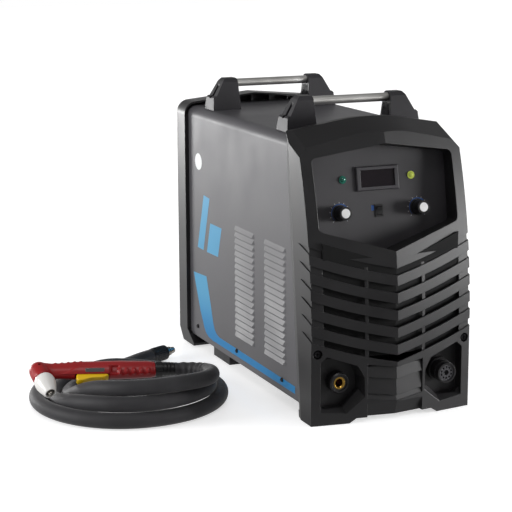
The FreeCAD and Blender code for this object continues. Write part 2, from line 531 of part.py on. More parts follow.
def front_bezel():
    """Moulded front: prow, visor, vents, panel recess, socket recesses and feet."""
    outer = prow_solid(0.0, 0.0)
    outer = outer.common(box(-HALF, HALF, FRONT - DEPTH, REAR, 0.0, REAR_ARCH_Z * 2))
    tops = top_cutters(0.0)
    outer = outer.cut(tops[0].multiFuse(tops[1:])).removeSplitter()
    inner_half = HALF - MOULD
    inner = prow_solid(MOULD, DEPTH)
    inner = inner.common(box(-inner_half, inner_half, FRONT - DEPTH, REAR,
                             FOOT_LIFT + MOULD, REAR_ARCH_Z * 2))
    tops = top_cutters(MOULD)
    inner = inner.cut(tops[0].multiFuse(tops[1:]))
    shell = outer.cut(inner)

    # what the shell carries inside: side rims, pan seats, recess walls and screw bosses
    adds = []
    low, high = FRONT + parting(RIM_BASE_Z), FRONT + parting(RIM_TOP_Z)
    rim = [(low - RIM_WIDE, RIM_BASE_Z), (low, RIM_BASE_Z), (high, RIM_TOP_Z), (high - RIM_WIDE, RIM_TOP_Z)]
    adds += both_sides(prism_yz(rim, COVER_HALF, inner_half + OVER))
    seat_y = FRONT + SEAT_BACK
    foot_x = HALF - FOOT_WIDE
    adds += both_sides(box(foot_x, inner_half + OVER, seat_y, seat_y + SEAT_LONG, FOOT_LIFT, PAN_Z))
    panel_back = PANEL_THICK + PANEL_LIP
    tub = rounded_xz(recess_points(MOULD), RECESS_ROUND + MOULD, -DEPTH / 4, panel_back)
    adds.append(panel_place(tub).common(outer))
    for side in (-1, 1):
        walls = offset_points(beside_socket(RECESS_POINTS, side), MOULD)
        adds.append(prism_xz(walls, FRONT - PROW * 2, FRONT + RECESS_FLOOR + MOULD).common(outer))
        lip = offset_points(beside_socket(LIP_POINTS, side), MOULD)
        adds.append(prism_xz(lip, FRONT - PROW * 2, FRONT + LIP_DEEP).common(outer))
        boss = rod(PLUG_R + MOULD, V(side * PLUG_X, FRONT - PROW, PLUG_Z),
                   V(side * PLUG_X, FRONT + PLUG_DEEP, PLUG_Z))
        adds.append(boss.common(outer))
    chin_wall = FRONT + MOULD * 2
    adds.append(box(-CHIN_HALF - MOULD, CHIN_HALF + MOULD, FRONT - PROW * 2, chin_wall,
                    FOOT_LIFT, STEP_EDGES_Z[0] + MOULD).common(outer))
    body = fuse([shell] + adds)

    # openings
    cuts = vent_window_cutters() + vent_channel_cutters(outer)
    pocket = rounded_xz(recess_points(0.0), RECESS_ROUND, -DEPTH / 4, PANEL_THICK)
    through = rounded_xz(recess_points(-PANEL_LIP), RECESS_ROUND - PANEL_LIP, -DEPTH / 4, panel_back + OVER)
    cuts += [panel_place(pocket), panel_place(through)]
    for side in (-1, 1):
        cuts.append(prism_xz(beside_socket(RECESS_POINTS, side), FRONT - PROW * 2, FRONT + RECESS_FLOOR))
        cuts.append(lip_cutter(side))
        centre = V(side * SOCKET_X, FRONT + RECESS_FLOOR - OVER, SOCKET_Z)
        hole_r = (BRASS_R if side < 0 else CONNECTOR_R) + FIT
        cuts.append(rod(hole_r, centre, centre + Y_AXIS * (MOULD + OVER * 2)))
        plug = V(side * PLUG_X, FRONT - PROW, PLUG_Z)
        cuts.append(rod(PLUG_R + FIT, plug, V(side * PLUG_X, FRONT + PLUG_SINK + OVER, PLUG_Z)))
        cuts.append(rod(BOLT_R + THREAD_FIT, plug, V(side * PLUG_X, FRONT + PLUG_DEEP + OVER, PLUG_Z)))
    feet_gap = [(-foot_x, -OVER), (foot_x, -OVER), (foot_x - FOOT_SLOPE, FOOT_LIFT),
                (FOOT_SLOPE - foot_x, FOOT_LIFT)]
    cuts.append(prism_xz(feet_gap, FRONT - PROW * 2, REAR))
    cuts += front_step_cutters()
    cuts += rim_taper_cutters()
    return body.cut(cuts[0].multiFuse(cuts[1:])).removeSplitter()


def prow_y(x):
    """Front face of the lower bezel at a distance from the middle."""
    return FRONT - PROW * (1 - abs(x) / HALF)


def front_step_cutters():
    """Chin and stepped plates of the block between the socket recesses."""
    cutters = []
    for side in (-1, 1):
        sections = []
        for x in (0.0, side * CHIN_HALF):
            face_y = prow_y(x)
            corners = [V(x, face_y - OVER, CHIN_TOP_Z), V(x, face_y, CHIN_TOP_Z),
                       V(x, face_y + CHIN_DEEP, FOOT_LIFT - OVER), V(x, face_y - OVER, FOOT_LIFT - OVER)]
            sections.append(Part.makePolygon(corners + corners[:1]))
        cutters.append(Part.makeLoft(sections, True, True))
    for high, low in zip(STEP_EDGES_Z, STEP_EDGES_Z[1:]):
        for side in (-1, 1):
            # each plate starts sunk behind the one above and comes forward to its lower edge
            sections = []
            for x in (0.0, side * CHIN_HALF):
                lift = STEP_RISE * abs(x) / CHIN_HALF
                face_y = prow_y(x)
                corners = [V(x, face_y - OVER, high + lift), V(x, face_y + STEP_DEEP, high + lift),
                           V(x, face_y + STEP_PROUD, low + lift), V(x, face_y - OVER, low + lift)]
                sections.append(Part.makePolygon(corners + corners[:1]))
            cutters.append(Part.makeLoft(sections, True, True))
    return cutters


def rim_taper_cutters():
    """Tapers that bring the bezel sides down to the cover at the parting line."""
    top = CREST_Z + CREST_RISE
    corners = []
    for along, x in ((-RIM_WIDE, HALF), (OVER, COVER_HALF + RIM_STEP), (OVER, HALF + OVER)):
        corners.append(V(x, FRONT + PART_LOW[0] + along, PART_LOW[1]))
    corners.insert(1, V(COVER_HALF + RIM_STEP, FRONT + PART_LOW[0], PART_LOW[1]))
    corners.append(V(HALF + OVER, FRONT + PART_LOW[0] - RIM_WIDE, PART_LOW[1]))
    face = Part.Face(Part.makePolygon(corners + corners[:1]))
    return both_sides(face.extrude(V(0, parting(top) - PART_LOW[0], top - PART_LOW[1])))


# ================================================================ cover, pan, rear

def cover_outline(inset):
    """Front outline of the wrapped cover, moved inwards by an amount."""
    half = COVER_HALF - inset
    top = ROOF_Z - inset
    radius = SHOULDER_R - inset
    turn = radius * (1 - math.sqrt(0.5))
    y = FRONT + COVER_FRONT
    left = V(-half, y, top - radius)
    left_top = V(radius - half, y, top)
    right_top = V(half - radius, y, top)
    right = V(half, y, top - radius)
    low_right = V(half, y, PAN_Z)
    low_left = V(-half, y, PAN_Z)
    edges = [Part.Arc(left, V(turn - half, y, top - turn), left_top).toShape(),
             Part.LineSegment(left_top, right_top).toShape(),
             Part.Arc(right_top, V(half - turn, y, top - turn), right).toShape(),
             Part.LineSegment(right, low_right).toShape(),
             Part.LineSegment(low_right, low_left).toShape(),
             Part.LineSegment(low_left, left).toShape()]
    return Part.Face(Part.Wire(edges))


def louvre_spots():
    """Start of each louvre: distance back from the front edges, and height."""
    for start in LOUVRE_STARTS:
        for row in range(LOUVRE_ROWS):
            yield start, LOUVRE_Z + row * LOUVRE_PITCH


def cover_shell():
    """Sheet wrapped over the roof and both sides, with pressed louvres."""
    run = V(0, COVER_LONG, 0)
    sheet = cover_outline(0.0).extrude(run).cut(cover_outline(SHEET).extrude(run))
    # the flat between the two sides, under the inner outline, is open
    sheet = sheet.cut(box(SHEET - COVER_HALF, COVER_HALF - SHEET, FRONT, REAR, PAN_Z - OVER, PAN_Z + OVER))
    low, high = PAN_Z - OVER, ROOF_Z + OVER
    edge = [(FRONT, low), (FRONT + parting(low) - COVER_LAP, low),
            (FRONT + parting(high) - COVER_LAP, high), (FRONT, high)]
    sheet = sheet.cut(prism_yz(edge, -HALF, HALF))
    scoops = []
    slots = []
    for start, low in louvre_spots():
        y0 = FRONT + start
        y1 = y0 + LOUVRE_LONG
        face = COVER_HALF
        points = [V(face, y0, low), V(face + LOUVRE_OUT, y0 + LOUVRE_TALL, low),
                  V(face + LOUVRE_OUT, y1 - LOUVRE_TALL, low), V(face, y1, low),
                  V(face, y1 - LOUVRE_TALL / 2, low + LOUVRE_TALL),
                  V(face, y0 + LOUVRE_TALL / 2, low + LOUVRE_TALL)]
        scoops += both_sides(scoop(points))
        slot = box(face - SHEET - OVER, face + LOUVRE_OUT - SHEET, y0 + LOUVRE_TALL, y1 - LOUVRE_TALL,
                   low - OVER / 2, low + LOUVRE_SLOT)
        slots += both_sides(slot)
    holes = []
    for back in SIDE_SCREW_Y:
        hole = rod(BOLT_R + THREAD_FIT, V(COVER_HALF - SHEET * 2, FRONT + back, SIDE_SCREW_Z),
                   V(COVER_HALF + OVER, FRONT + back, SIDE_SCREW_Z))
        holes += both_sides(hole)
    for back in TUBE_BACKS:
        hole = rod(BOLT_R + THREAD_FIT, V(BOLT_X, FRONT + back, ROOF_Z - SHEET * 2),
                   V(BOLT_X, FRONT + back, ROOF_Z + OVER))
        holes += both_sides(hole)
    return sheet.multiFuse(scoops).cut(slots[0].multiFuse(slots[1:] + holes))


def scoop(points):
    """Closed wedge from a base edge ring: bottom face, two ends, a sloping back."""
    a, b, c, d, e, f = points
    faces = [[a, b, c, d], [b, f, e, c], [a, f, b], [d, c, e], [a, d, e, f]]
    shells = [Part.Face(Part.makePolygon(ring + ring[:1])) for ring in faces]
    solid = Part.makeSolid(Part.makeShell(shells))
    if solid.Volume < 0:
        solid.reverse()
    return solid


def base_pan():
    """Folded sheet that carries the power train, with flanges inside the cover sides."""
    half = COVER_HALF - SHEET
    y0, y1 = FRONT + PAN_FRONT, REAR - MOULD - SHEET
    pan = box(-half, half, y0, y1, PAN_Z, PAN_Z + SHEET)
    flange_y0 = FRONT + FLANGE_FRONT
    flanges = both_sides(box(half - SHEET, half, flange_y0, y1, PAN_Z, FLANGE_TOP))
    holes = []
    for back in SIDE_SCREW_Y:
        hole = rod(BOLT_R + THREAD_FIT, V(half - SHEET - OVER, FRONT + back, SIDE_SCREW_Z),
                   V(half + OVER, FRONT + back, SIDE_SCREW_Z))
        holes += both_sides(hole)
    return fuse([pan] + flanges).cut(holes[0].multiFuse(holes[1:]))


def rear_outline(inset):
    """Rear view outline of the rear bezel, moved inwards by an amount."""
    half = HALF - inset
    low = REAR_LIFT + inset
    corner = REAR_CORNER_Z - inset
    return [(-half, low), (half, low), (half, corner), (0.0, REAR_ARCH_Z - inset), (-half, corner)]


def rear_bezel():
    """Moulded rear frame, open towards the front above the roof."""
    toe_long, toe_tall = REAR_TOE
    heel_z, top_z = PAN_Z + REAR_HEEL, REAR_ARCH_Z + OVER
    side_profile = [(REAR, top_z), (REAR, REAR_LIFT + toe_tall), (REAR - toe_long, REAR_LIFT),
                    (REAR - REAR_FOOT, REAR_LIFT), (REAR - REAR_FOOT, REAR_LIFT + REAR_SOLE),
                    (REAR - REAR_SIDE, heel_z), (REAR - REAR_SIDE, top_z)]
    block = prism_yz(side_profile, -HALF, HALF)
    outline = prism_xz(rear_outline(0.0), REAR - DEPTH / 2, REAR + OVER)
    outer = block.common(outline)
    top_edges = [edge for edge in outer.Edges
                 if abs(edge.CenterOfMass.z - REAR_CORNER_Z) < OVER
                 and abs(abs(edge.CenterOfMass.x) - HALF) < OVER]
    outer = outer.makeFillet(REAR_CORNER_R, top_edges)
    y1 = REAR - MOULD
    cavity = rounded_xz(rear_outline(MOULD), REAR_CORNER_R - MOULD, REAR - DEPTH / 2, y1)
    cavity = cavity.common(box(-HALF, HALF, FRONT, REAR, PAN_Z, REAR_ARCH_Z))
    window = rounded_xz(rear_outline(MOULD + REAR_FRAME), REAR_CORNER_R / 2, y1 - OVER, REAR + OVER)
    window = window.common(box(-HALF, HALF, FRONT, REAR + OVER, PAN_Z + REAR_FRAME, REAR_ARCH_Z))
    shell = outer.cut(cavity).cut(window)
    rims = both_sides(box(COVER_HALF, HALF - MOULD + OVER, REAR - REAR_SIDE, REAR - REAR_SIDE + MOULD,
                          heel_z, ROOF_Z - SHOULDER_R))
    ribs = []
    for index in range(RIB_COUNT):
        x = -RIB_HALF + 2 * RIB_HALF * index / (RIB_COUNT - 1)
        rib = box(x - RIB_THICK / 2, x + RIB_THICK / 2, REAR - REAR_SIDE / 2, y1 - SHEET,
                  ROOF_Z + FIT, REAR_ARCH_Z)
        ribs.append(rib.common(outer))
    holes = [rod(BOLT_R + THREAD_FIT, V(x, REAR - MOULD - OVER, z), V(x, REAR + OVER, z))
             for x, z in rear_screw_spots()]
    return fuse([shell] + rims + ribs).cut(holes[0].multiFuse(holes[1:]))


def rear_screw_spots():
    """Where the rear frame is screwed to the rear plate."""
    edge = HALF - MOULD - REAR_FRAME / 2
    heights = (FLANGE_TOP + REAR_SCREW_RISE, ROOF_Z / 2, ROOF_Z - REAR_SCREW_DROP)
    return [(side * edge, z) for side in (-1, 1) for z in heights]


def rear_plate():
    """Steel plate inside the rear frame, with holes for what is mounted on it."""
    y1 = REAR - MOULD
    y0 = y1 - SHEET
    plate = rounded_xz(rear_outline(MOULD + FIT), REAR_CORNER_R - MOULD, y0, y1)
    plate = plate.common(box(-HALF, HALF, y0, y1, PAN_Z, REAR_ARCH_Z))
    cuts = [rod(FAN_BORE_R - FIT, V(0, y0 - OVER, FAN_Z), V(0, y1 + OVER, FAN_Z))]
    wide, _, tall = BREAKER_NOSE
    cuts.append(box(BREAKER_X - wide / 2, BREAKER_X + wide / 2, y0 - OVER, y1 + OVER,
                    BREAKER_Z - tall / 2, BREAKER_Z + tall / 2))
    for x, z, radius in ((GLAND_X, GLAND_Z, GLAND_THREAD_R), (AIR_X, AIR_Z, AIR_THREAD_R),
                         (EARTH_X, EARTH_Z, EARTH_R)):
        cuts.append(rod(radius + THREAD_FIT, V(x, y0 - OVER, z), V(x, y1 + OVER, z)))
    for x, z in rear_screw_spots():
        cuts.append(rod(BOLT_R + THREAD_FIT, V(x, y0 - OVER, z), V(x, y1 + OVER, z)))
    return plate.cut(cuts[0].multiFuse(cuts[1:]))


def block_feet():
    """Two block feet under the rear of the pan."""
    y0 = REAR - BLOCK_END - BLOCK_LONG / 2
    foot = box(BLOCK_X - BLOCK_WIDE / 2, BLOCK_X + BLOCK_WIDE / 2, y0, y0 + BLOCK_LONG, 0.0, PAN_Z)
    return group(both_sides(foot))


# ================================================================ handles

def handle_bracket(side, back):
    """Faceted moulding that holds one end of a handle tube to the roof."""
    outer, inner = BRACKET_OUTER, BRACKET_INNER
    tower = outer - TAB_LONG
    base_z = ROOF_Z - SHOULDER_R / 2
    points = [(outer, base_z), (outer - TAB_BEVEL, TAB_TOP_Z - TAB_BEVEL), (outer - TAB_BEVEL * 2, TAB_TOP_Z),
              (tower, TAB_TOP_Z), (tower - SLOPE_RUN, BRACKET_TOP_Z - TOP_BEVEL),
              (tower - SLOPE_RUN - TOP_BEVEL, BRACKET_TOP_Z),
              (inner + INNER_DRAFT + INNER_BEVEL, BRACKET_TOP_Z),
              (inner + INNER_DRAFT, BRACKET_TOP_Z - INNER_BEVEL), (inner, base_z)]
    middle = FRONT + back
    y0, y1 = middle - BRACKET_DEEP / 2, middle + BRACKET_DEEP / 2
    body = prism_xz(points, y0, y1)
    for y, way in ((y0, 1), (y1, -1)):
        wedge = [(y - way * OVER, ROOF_Z), (y, ROOF_Z),
                 (y + way * BRACKET_BEVEL, BRACKET_TOP_Z - BEVEL_DROP),
                 (y + way * BRACKET_BEVEL_TOP, BRACKET_TOP_Z + OVER),
                 (y - way * OVER, BRACKET_TOP_Z + OVER)]
        body = body.cut(prism_yz(wedge, inner - OVER, outer + OVER))
    groove = box(tower - GROOVE_DEEP, outer + OVER, middle - GROOVE_HALF, middle + GROOVE_HALF,
                 TAB_TOP_Z - GROOVE_SINK, BRACKET_TOP_Z - GROOVE_DROP)
    cuts = [groove, cover_outline(0.0).extrude(V(0, COVER_LONG, 0))]
    cuts.append(rod(TUBE_R + THREAD_FIT, V(inner - OVER, middle, TUBE_Z), V(TUBE_HALF, middle, TUBE_Z)))
    cuts.append(rod(BOLT_R + THREAD_FIT, V(BOLT_X, middle, ROOF_Z - OVER),
                    V(BOLT_X, middle, ROOF_Z + BOLT_GRIP + OVER)))
    # ribs on the inner face are what shallow grooves leave
    for index in range(GRIP_RIBS):
        y = middle + (index - (GRIP_RIBS - 1) / 2) * GRIP_RIB_PITCH
        cuts.append(box(inner - OVER, inner + GRIP_GROOVE, y - GRIP_GROOVE_WIDE / 2, y + GRIP_GROOVE_WIDE / 2,
                        ROOF_Z + GRIP_LOW, TUBE_Z - TUBE_R - GRIP_HIGH_GAP))
    body = body.cut(cuts)
    return body if side > 0 else body.mirror(V(0, 0, 0), X_AXIS)


def handle_tube(back):
    """Brushed steel tube between two brackets."""
    start = V(-TUBE_HALF, FRONT + back, TUBE_Z)
    end = V(TUBE_HALF, FRONT + back, TUBE_Z)
    over = X_AXIS * OVER
    return rod(TUBE_R, start, end).cut(rod(TUBE_R - TUBE_WALL, start - over, end + over))


def handle_bolts():
    """Bolts that come up through the roof into the brackets."""
    bolts = []
    for back in TUBE_BACKS:
        base = V(BOLT_X, FRONT + back, ROOF_Z - SHEET)
        head = rod(BOLT_HEAD_R, base - Z_AXIS * BOLT_HEAD, base)
        shank = rod(BOLT_R, base, base + Z_AXIS * (SHEET + BOLT_GRIP))
        bolts += both_sides(fuse([head, shank]))
    return group(bolts)


def cover_screws():
    """Six screws through the cover sides into the pan flanges."""
    screws = []
    for back in SIDE_SCREW_Y:
        seat = V(COVER_HALF, FRONT + back, SIDE_SCREW_Z)
        head = cone(SCREW_HEAD_R, SCREW_TOP_R, seat, seat + X_AXIS * SCREW_HEAD)
        shank = rod(BOLT_R, seat - X_AXIS * SCREW_LONG, seat)
        screws += both_sides(fuse([head, shank]))
    return group(screws)


def bezel_screws():
    """Front screws deep in their plug holes, and the rear frame screws."""
    screws = []
    seat = V(PLUG_X, FRONT + PLUG_SINK + OVER, PLUG_Z)
    head = rod(PLUG_R, seat - Y_AXIS * PLUG_HEAD, seat)
    front = fuse([head, rod(BOLT_R, seat, seat + Y_AXIS * PLUG_SHANK)])
    y0, y1 = seat.y - PLUG_HEAD - OVER, seat.y - CROSS_DEEP
    for wide, tall in ((CROSS_REACH, CROSS_HALF), (CROSS_HALF, CROSS_REACH)):
        front = front.cut(box(PLUG_X - wide, PLUG_X + wide, y0, y1, PLUG_Z - tall, PLUG_Z + tall))
    screws += both_sides(front)
    for x, z in rear_screw_spots():
        base = V(x, REAR, z)
        screws.append(fuse([cone(SCREW_HEAD_R, SCREW_TOP_R, base, base + Y_AXIS * SCREW_HEAD),
                            rod(BOLT_R, base - Y_AXIS * SCREW_LONG, base)]))
    return group(screws)


# ================================================================ control panel

def centred(wide, tall, y0, y1, up=0.0, across=0.0):
    """Block in panel coordinates, centred on a spot of the panel."""
    return box(across - wide / 2, across + wide / 2, y0, y1, up - tall / 2, up + tall / 2)


def control_panel():
    """Flat panel at the back of the recess, with its cut-outs."""
    plate = rounded_xz(recess_points(-FIT), RECESS_ROUND - FIT, 0.0, PANEL_THICK)
    y0, y1 = -OVER, PANEL_THICK + OVER
    cuts = [centred(*DISPLAY_VIEW, y0, y1, DISPLAY_UP)]
    wide, tall = rocker_barrel_size()
    cuts.append(centred(wide + FIT, tall + FIT, y0, y1))
    for side in (-1, 1):
        cuts.append(rod(LAMP_R + FIT, V(side * LAMP_X, y0, LAMP_UP), V(side * LAMP_X, y1, LAMP_UP)))
        cuts.append(rod(BUSH_R + THREAD_FIT, V(side * KNOB_X, y0, 0), V(side * KNOB_X, y1, 0)))
    return panel_place(plate.cut(cuts[0].multiFuse(cuts[1:])))


def display_bezel():
    """Raised frame round the display window."""
    wide, tall = DISPLAY_SIZE
    frame = centred(wide, tall, -DISPLAY_PROUD, 0.0, DISPLAY_UP)
    face_edges = [edge for edge in frame.Edges if abs(edge.CenterOfMass.y + DISPLAY_PROUD) < FIT]
    frame = frame.makeChamfer(DISPLAY_BEVEL, face_edges)
    opening = centred(*DISPLAY_VIEW, -DISPLAY_PROUD - OVER, OVER, DISPLAY_UP)
    lap = (WINDOW_LAP + FIT) * 2
    rebate = centred(DISPLAY_VIEW[0] + lap, DISPLAY_VIEW[1] + lap, -WINDOW_THICK, OVER, DISPLAY_UP)
    return panel_place(frame.cut(opening).cut(rebate))


def display_window():
    """Tinted window held between the display frame and the panel."""
    lap = WINDOW_LAP * 2
    return panel_place(centred(DISPLAY_VIEW[0] + lap, DISPLAY_VIEW[1] + lap, -WINDOW_THICK, 0.0, DISPLAY_UP))


def display_module():
    """Digit module behind the panel."""
    wide, tall = [size - MODULE_INSET * 2 for size in DISPLAY_SIZE]
    case = centred(wide, tall, PANEL_THICK, PANEL_THICK + MODULE_DEEP, DISPLAY_UP)
    wide, tall = [size - DIGIT_INSET * 2 for size in DISPLAY_VIEW]
    digits = centred(wide, tall, OVER, PANEL_THICK + OVER, DISPLAY_UP)
    return panel_place(fuse([case, digits]))


def lamp(side):
    """Indicator lamp: domed lens, flange and body through the panel."""
    spot = V(side * LAMP_X, 0, LAMP_UP)
    flange = rod(LAMP_FLANGE_R, spot - Y_AXIS * LAMP_FLANGE, spot)
    body = rod(LAMP_R, spot, spot + Y_AXIS * LAMP_DEEP)
    dome = Part.makeSphere(LAMP_R, spot - Y_AXIS * (LAMP_FLANGE - LAMP_SINK))
    dome = dome.common(rod(LAMP_R + OVER, spot - Y_AXIS * LAMP_R * 2, spot - Y_AXIS * LAMP_FLANGE))
    return panel_place(fuse([flange, body, dome]))


def knob(side):
    """Ribbed control knob with a hollow underside and a pocket for its cap."""
    spot = V(side * KNOB_X, -KNOB_GAP, 0)
    top = spot - Y_AXIS * KNOB_TALL
    shoulder = spot - Y_AXIS * KNOB_SKIRT
    body = fuse([rod(KNOB_R, spot, shoulder), cone(KNOB_R - KNOB_STEP, KNOB_TOP_R, shoulder, top)])
    ribs = []
    for index in range(KNOB_RIBS):
        turn = 2 * math.pi * index / KNOB_RIBS
        ring = KNOB_R - FLUTE_IN
        at = spot + V(ring * math.cos(turn), 0, ring * math.sin(turn))
        ribs.append(rod(FLUTE_R, at - Y_AXIS * FLUTE_START, at - Y_AXIS * (KNOB_TALL + OVER)))
    hollow = rod(POT_NUT_R + KNOB_ROOM, spot + Y_AXIS * OVER, spot - Y_AXIS * KNOB_HOLLOW)
    bore = rod(SHAFT_R + SHAFT_FIT, spot, spot - Y_AXIS * (KNOB_TALL - KNOB_ROOF))
    pocket = rod(KNOB_CAP_R + SHAFT_FIT, top + Y_AXIS * KNOB_CAP, top - Y_AXIS)
    return panel_place(body.cut(ribs[0].multiFuse(ribs[1:] + [hollow, bore, pocket])))


def knob_cap(side):
    """Turned metal cap set in the end of a knob, with its pointer line cut in."""
    top = V(side * KNOB_X, -KNOB_GAP - KNOB_TALL, 0)
    face = top - Y_AXIS * KNOB_CAP_PROUD
    cap = rod(KNOB_CAP_R, top + Y_AXIS * KNOB_CAP, face)
    line = box(-POINTER_HALF, POINTER_HALF, -OVER, POINTER_DEEP - KNOB_CAP_PROUD,
               POINTER_START, KNOB_CAP_R + OVER)
    line.translate(face)
    line.rotate(top, Y_AXIS, POINTER_TURN)
    return panel_place(cap.cut(line))


def pot_shaft(side):
    """Shaft that turns with the knob."""
    spot = V(side * KNOB_X, 0, 0)
    return panel_place(rod(SHAFT_R, spot + Y_AXIS * (PANEL_THICK + POT_DEEP - SHAFT_BACK),
                           spot - Y_AXIS * (KNOB_GAP + KNOB_TALL - KNOB_ROOF - SHAFT_GAP)))


def pot_body(side):
    """Potentiometer: can behind the panel, threaded bush through it and a nut in front."""
    spot = V(side * KNOB_X, 0, 0)
    can = rod(POT_R, spot + Y_AXIS * PANEL_THICK, spot + Y_AXIS * (PANEL_THICK + POT_DEEP))
    bush_end = POT_NUT + BUSH_PROUD
    bush = rod(BUSH_R, spot - Y_AXIS * bush_end, spot + Y_AXIS * PANEL_THICK)
    nut = rod(POT_NUT_R, spot - Y_AXIS * POT_NUT, spot)
    bore = rod(SHAFT_R + SHAFT_FIT, spot - Y_AXIS * (bush_end + OVER),
               spot + Y_AXIS * (PANEL_THICK + POT_DEEP - SHAFT_BACK + FIT))
    return panel_place(fuse([can, bush, nut]).cut(bore))


def rocker_barrel_size():
    """Width and height of the switch behind its rim."""
    return [size - ROCKER_RIM * 2 for size in ROCKER_FRAME]


def rocker_frame():
    """Bezel and barrel of the mode switch."""
    rim = centred(*ROCKER_FRAME, -ROCKER_RIM_HIGH, 0.0)
    barrel = centred(*rocker_barrel_size(), 0.0, ROCKER_BARREL)
    cavity = centred((ROCKER_HALF_WIDE + FIT) * 2, (ROCKER_R + FIT) * 2,
                     -ROCKER_RIM_HIGH - OVER, ROCKER_CAVITY)
    reach = ROCKER_HALF_WIDE + ROCKER_PIN + PIN_END
    pins = rod(ROCKER_PIN_R + SHAFT_FIT, V(-reach, 0, 0), V(reach, 0, 0))
    return panel_place(fuse([rim, barrel]).cut(cavity).cut(pins))


def rocker():
    """Tilting rocker with its pivot pin, drawn with the lower end pressed."""
    half = ROCKER_HALF_WIDE
    drum = rod(ROCKER_R, V(-half, 0, 0), V(half, 0, 0))
    far = ROCKER_R * 2
    rise = far * math.tan(math.radians(ROCKER_ANGLE))
    valley = [(-far, -far), (-ROCKER_VALLEY - rise, -far), (-ROCKER_VALLEY, 0.0),
              (-ROCKER_VALLEY - rise, far), (-far, far)]
    body = drum.cut(prism_yz(valley, -half - OVER, half + OVER))
    pin = rod(ROCKER_PIN_R, V(-half - ROCKER_PIN, 0, 0), V(half + ROCKER_PIN, 0, 0))
    tilted = fuse([body, pin])
    tilted.rotate(V(0, 0, 0), X_AXIS, ROCKER_ANGLE)
    return panel_place(tilted)


# ================================================================ front sockets

def torch_socket_body():
    """Insulating shell of the central torch socket."""
    floor = V(-SOCKET_X, FRONT + RECESS_FLOOR, SOCKET_Z)
    front = floor - Y_AXIS * SOCKET_LONG
    shell = rod(SOCKET_R, floor, front)
    nose = cone(SOCKET_R, SOCKET_R - SOCKET_NOSE, front, front - Y_AXIS * SOCKET_NOSE)
    bore = rod(BRASS_R + THREAD_FIT, floor + Y_AXIS * OVER, front - Y_AXIS * SOCKET_MOUTH)
    mouth = rod(SOCKET_R - SOCKET_WALL, front, front - Y_AXIS * SOCKET_MOUTH)
    return fuse([shell, nose]).cut(bore).cut(mouth)


def torch_socket_brass():
    """Brass insert of the torch socket, with a back nut behind the recess wall."""
    floor = V(-SOCKET_X, FRONT + RECESS_FLOOR, SOCKET_Z)
    start = floor - Y_AXIS * SOCKET_LONG
    body = rod(BRASS_R, start, start + Y_AXIS * BRASS_LONG)
    nut = rod(BRASS_NUT_R, floor + Y_AXIS * MOULD, floor + Y_AXIS * (MOULD + BRASS_NUT))
    bore = rod(BRASS_BORE_R, start - Y_AXIS * OVER, start + Y_AXIS * (BRASS_LONG - BRASS_END))
    mouth = cone(BRASS_BORE_R + BRASS_BEVEL, BRASS_BORE_R, start, start + Y_AXIS * BRASS_BEVEL)
    return fuse([body, nut]).cut(bore).cut(mouth)


def control_connector_body():
    """Round multi-pole connector shell."""
    floor = V(SOCKET_X, FRONT + RECESS_FLOOR, SOCKET_Z)
    front = floor - Y_AXIS * CONNECTOR_LONG
    base = rod(CONNECTOR_BASE_R, floor, floor - Y_AXIS * CONNECTOR_BASE)
    barrel = rod(CONNECTOR_R, floor + Y_AXIS * CONNECTOR_TAIL, front)
    ring = rod(CONNECTOR_RING_R, front + Y_AXIS * CONNECTOR_RING[0], front + Y_AXIS * CONNECTOR_RING[1])
    bore = rod(INSERT_R + THREAD_FIT, front - Y_AXIS * OVER, front + Y_AXIS * INSERT_END)
    return fuse([base, barrel, ring]).cut(bore)


def control_connector_insert():
    """Contact block of the connector: a ring of pin holes round a key hole."""
    front = V(SOCKET_X, FRONT + RECESS_FLOOR - CONNECTOR_LONG, SOCKET_Z)
    block = rod(INSERT_R, front + Y_AXIS * INSERT_SINK, front + Y_AXIS * INSERT_END)
    cuts = [rod(KEY_R, front, front + Y_AXIS * PIN_DEEP)]
    for index in range(PIN_COUNT):
        turn = 2 * math.pi * (index + 0.5) / PIN_COUNT
        at = front + V(PIN_CIRCLE * math.cos(turn), 0, PIN_CIRCLE * math.sin(turn))
        cuts.append(rod(PIN_R, at, at + Y_AXIS * PIN_DEEP))
    return block.cut(cuts[0].multiFuse(cuts[1:]))


# ================================================================ rear fittings

PLATE_OUT = REAR - MOULD         # outer face of the rear plate
PLATE_IN = PLATE_OUT - SHEET     # inner face


def fan_frame():
    """Square fan housing on the inside of the rear plate."""
    y1 = PLATE_IN
    y0 = y1 - FAN_DEEP
    half = FAN_SIZE / 2
    frame = box(-half, half, y0, y1, FAN_Z - half, FAN_Z + half)
    frame = frame.cut(rod(FAN_BORE_R, V(0, y0 - OVER, FAN_Z), V(0, y1 + OVER, FAN_Z)))
    struts = [rod(FAN_HUB_R, V(0, y0, FAN_Z), V(0, y0 + FAN_MOTOR, FAN_Z))]
    for index in range(4):
        strut = box(0, FAN_BORE_R + OVER, y0, y0 + FAN_STRUT, FAN_Z - FAN_STRUT_HALF, FAN_Z + FAN_STRUT_HALF)
        strut.rotate(V(0, 0, FAN_Z), Y_AXIS, 45.0 + 90.0 * index)
        struts.append(strut)
    bore = rod(FAN_SHAFT_R + SHAFT_FIT, V(0, y0 - OVER, FAN_Z), V(0, y0 + FAN_MOTOR + OVER, FAN_Z))
    return fuse([frame] + struts).cut(bore)


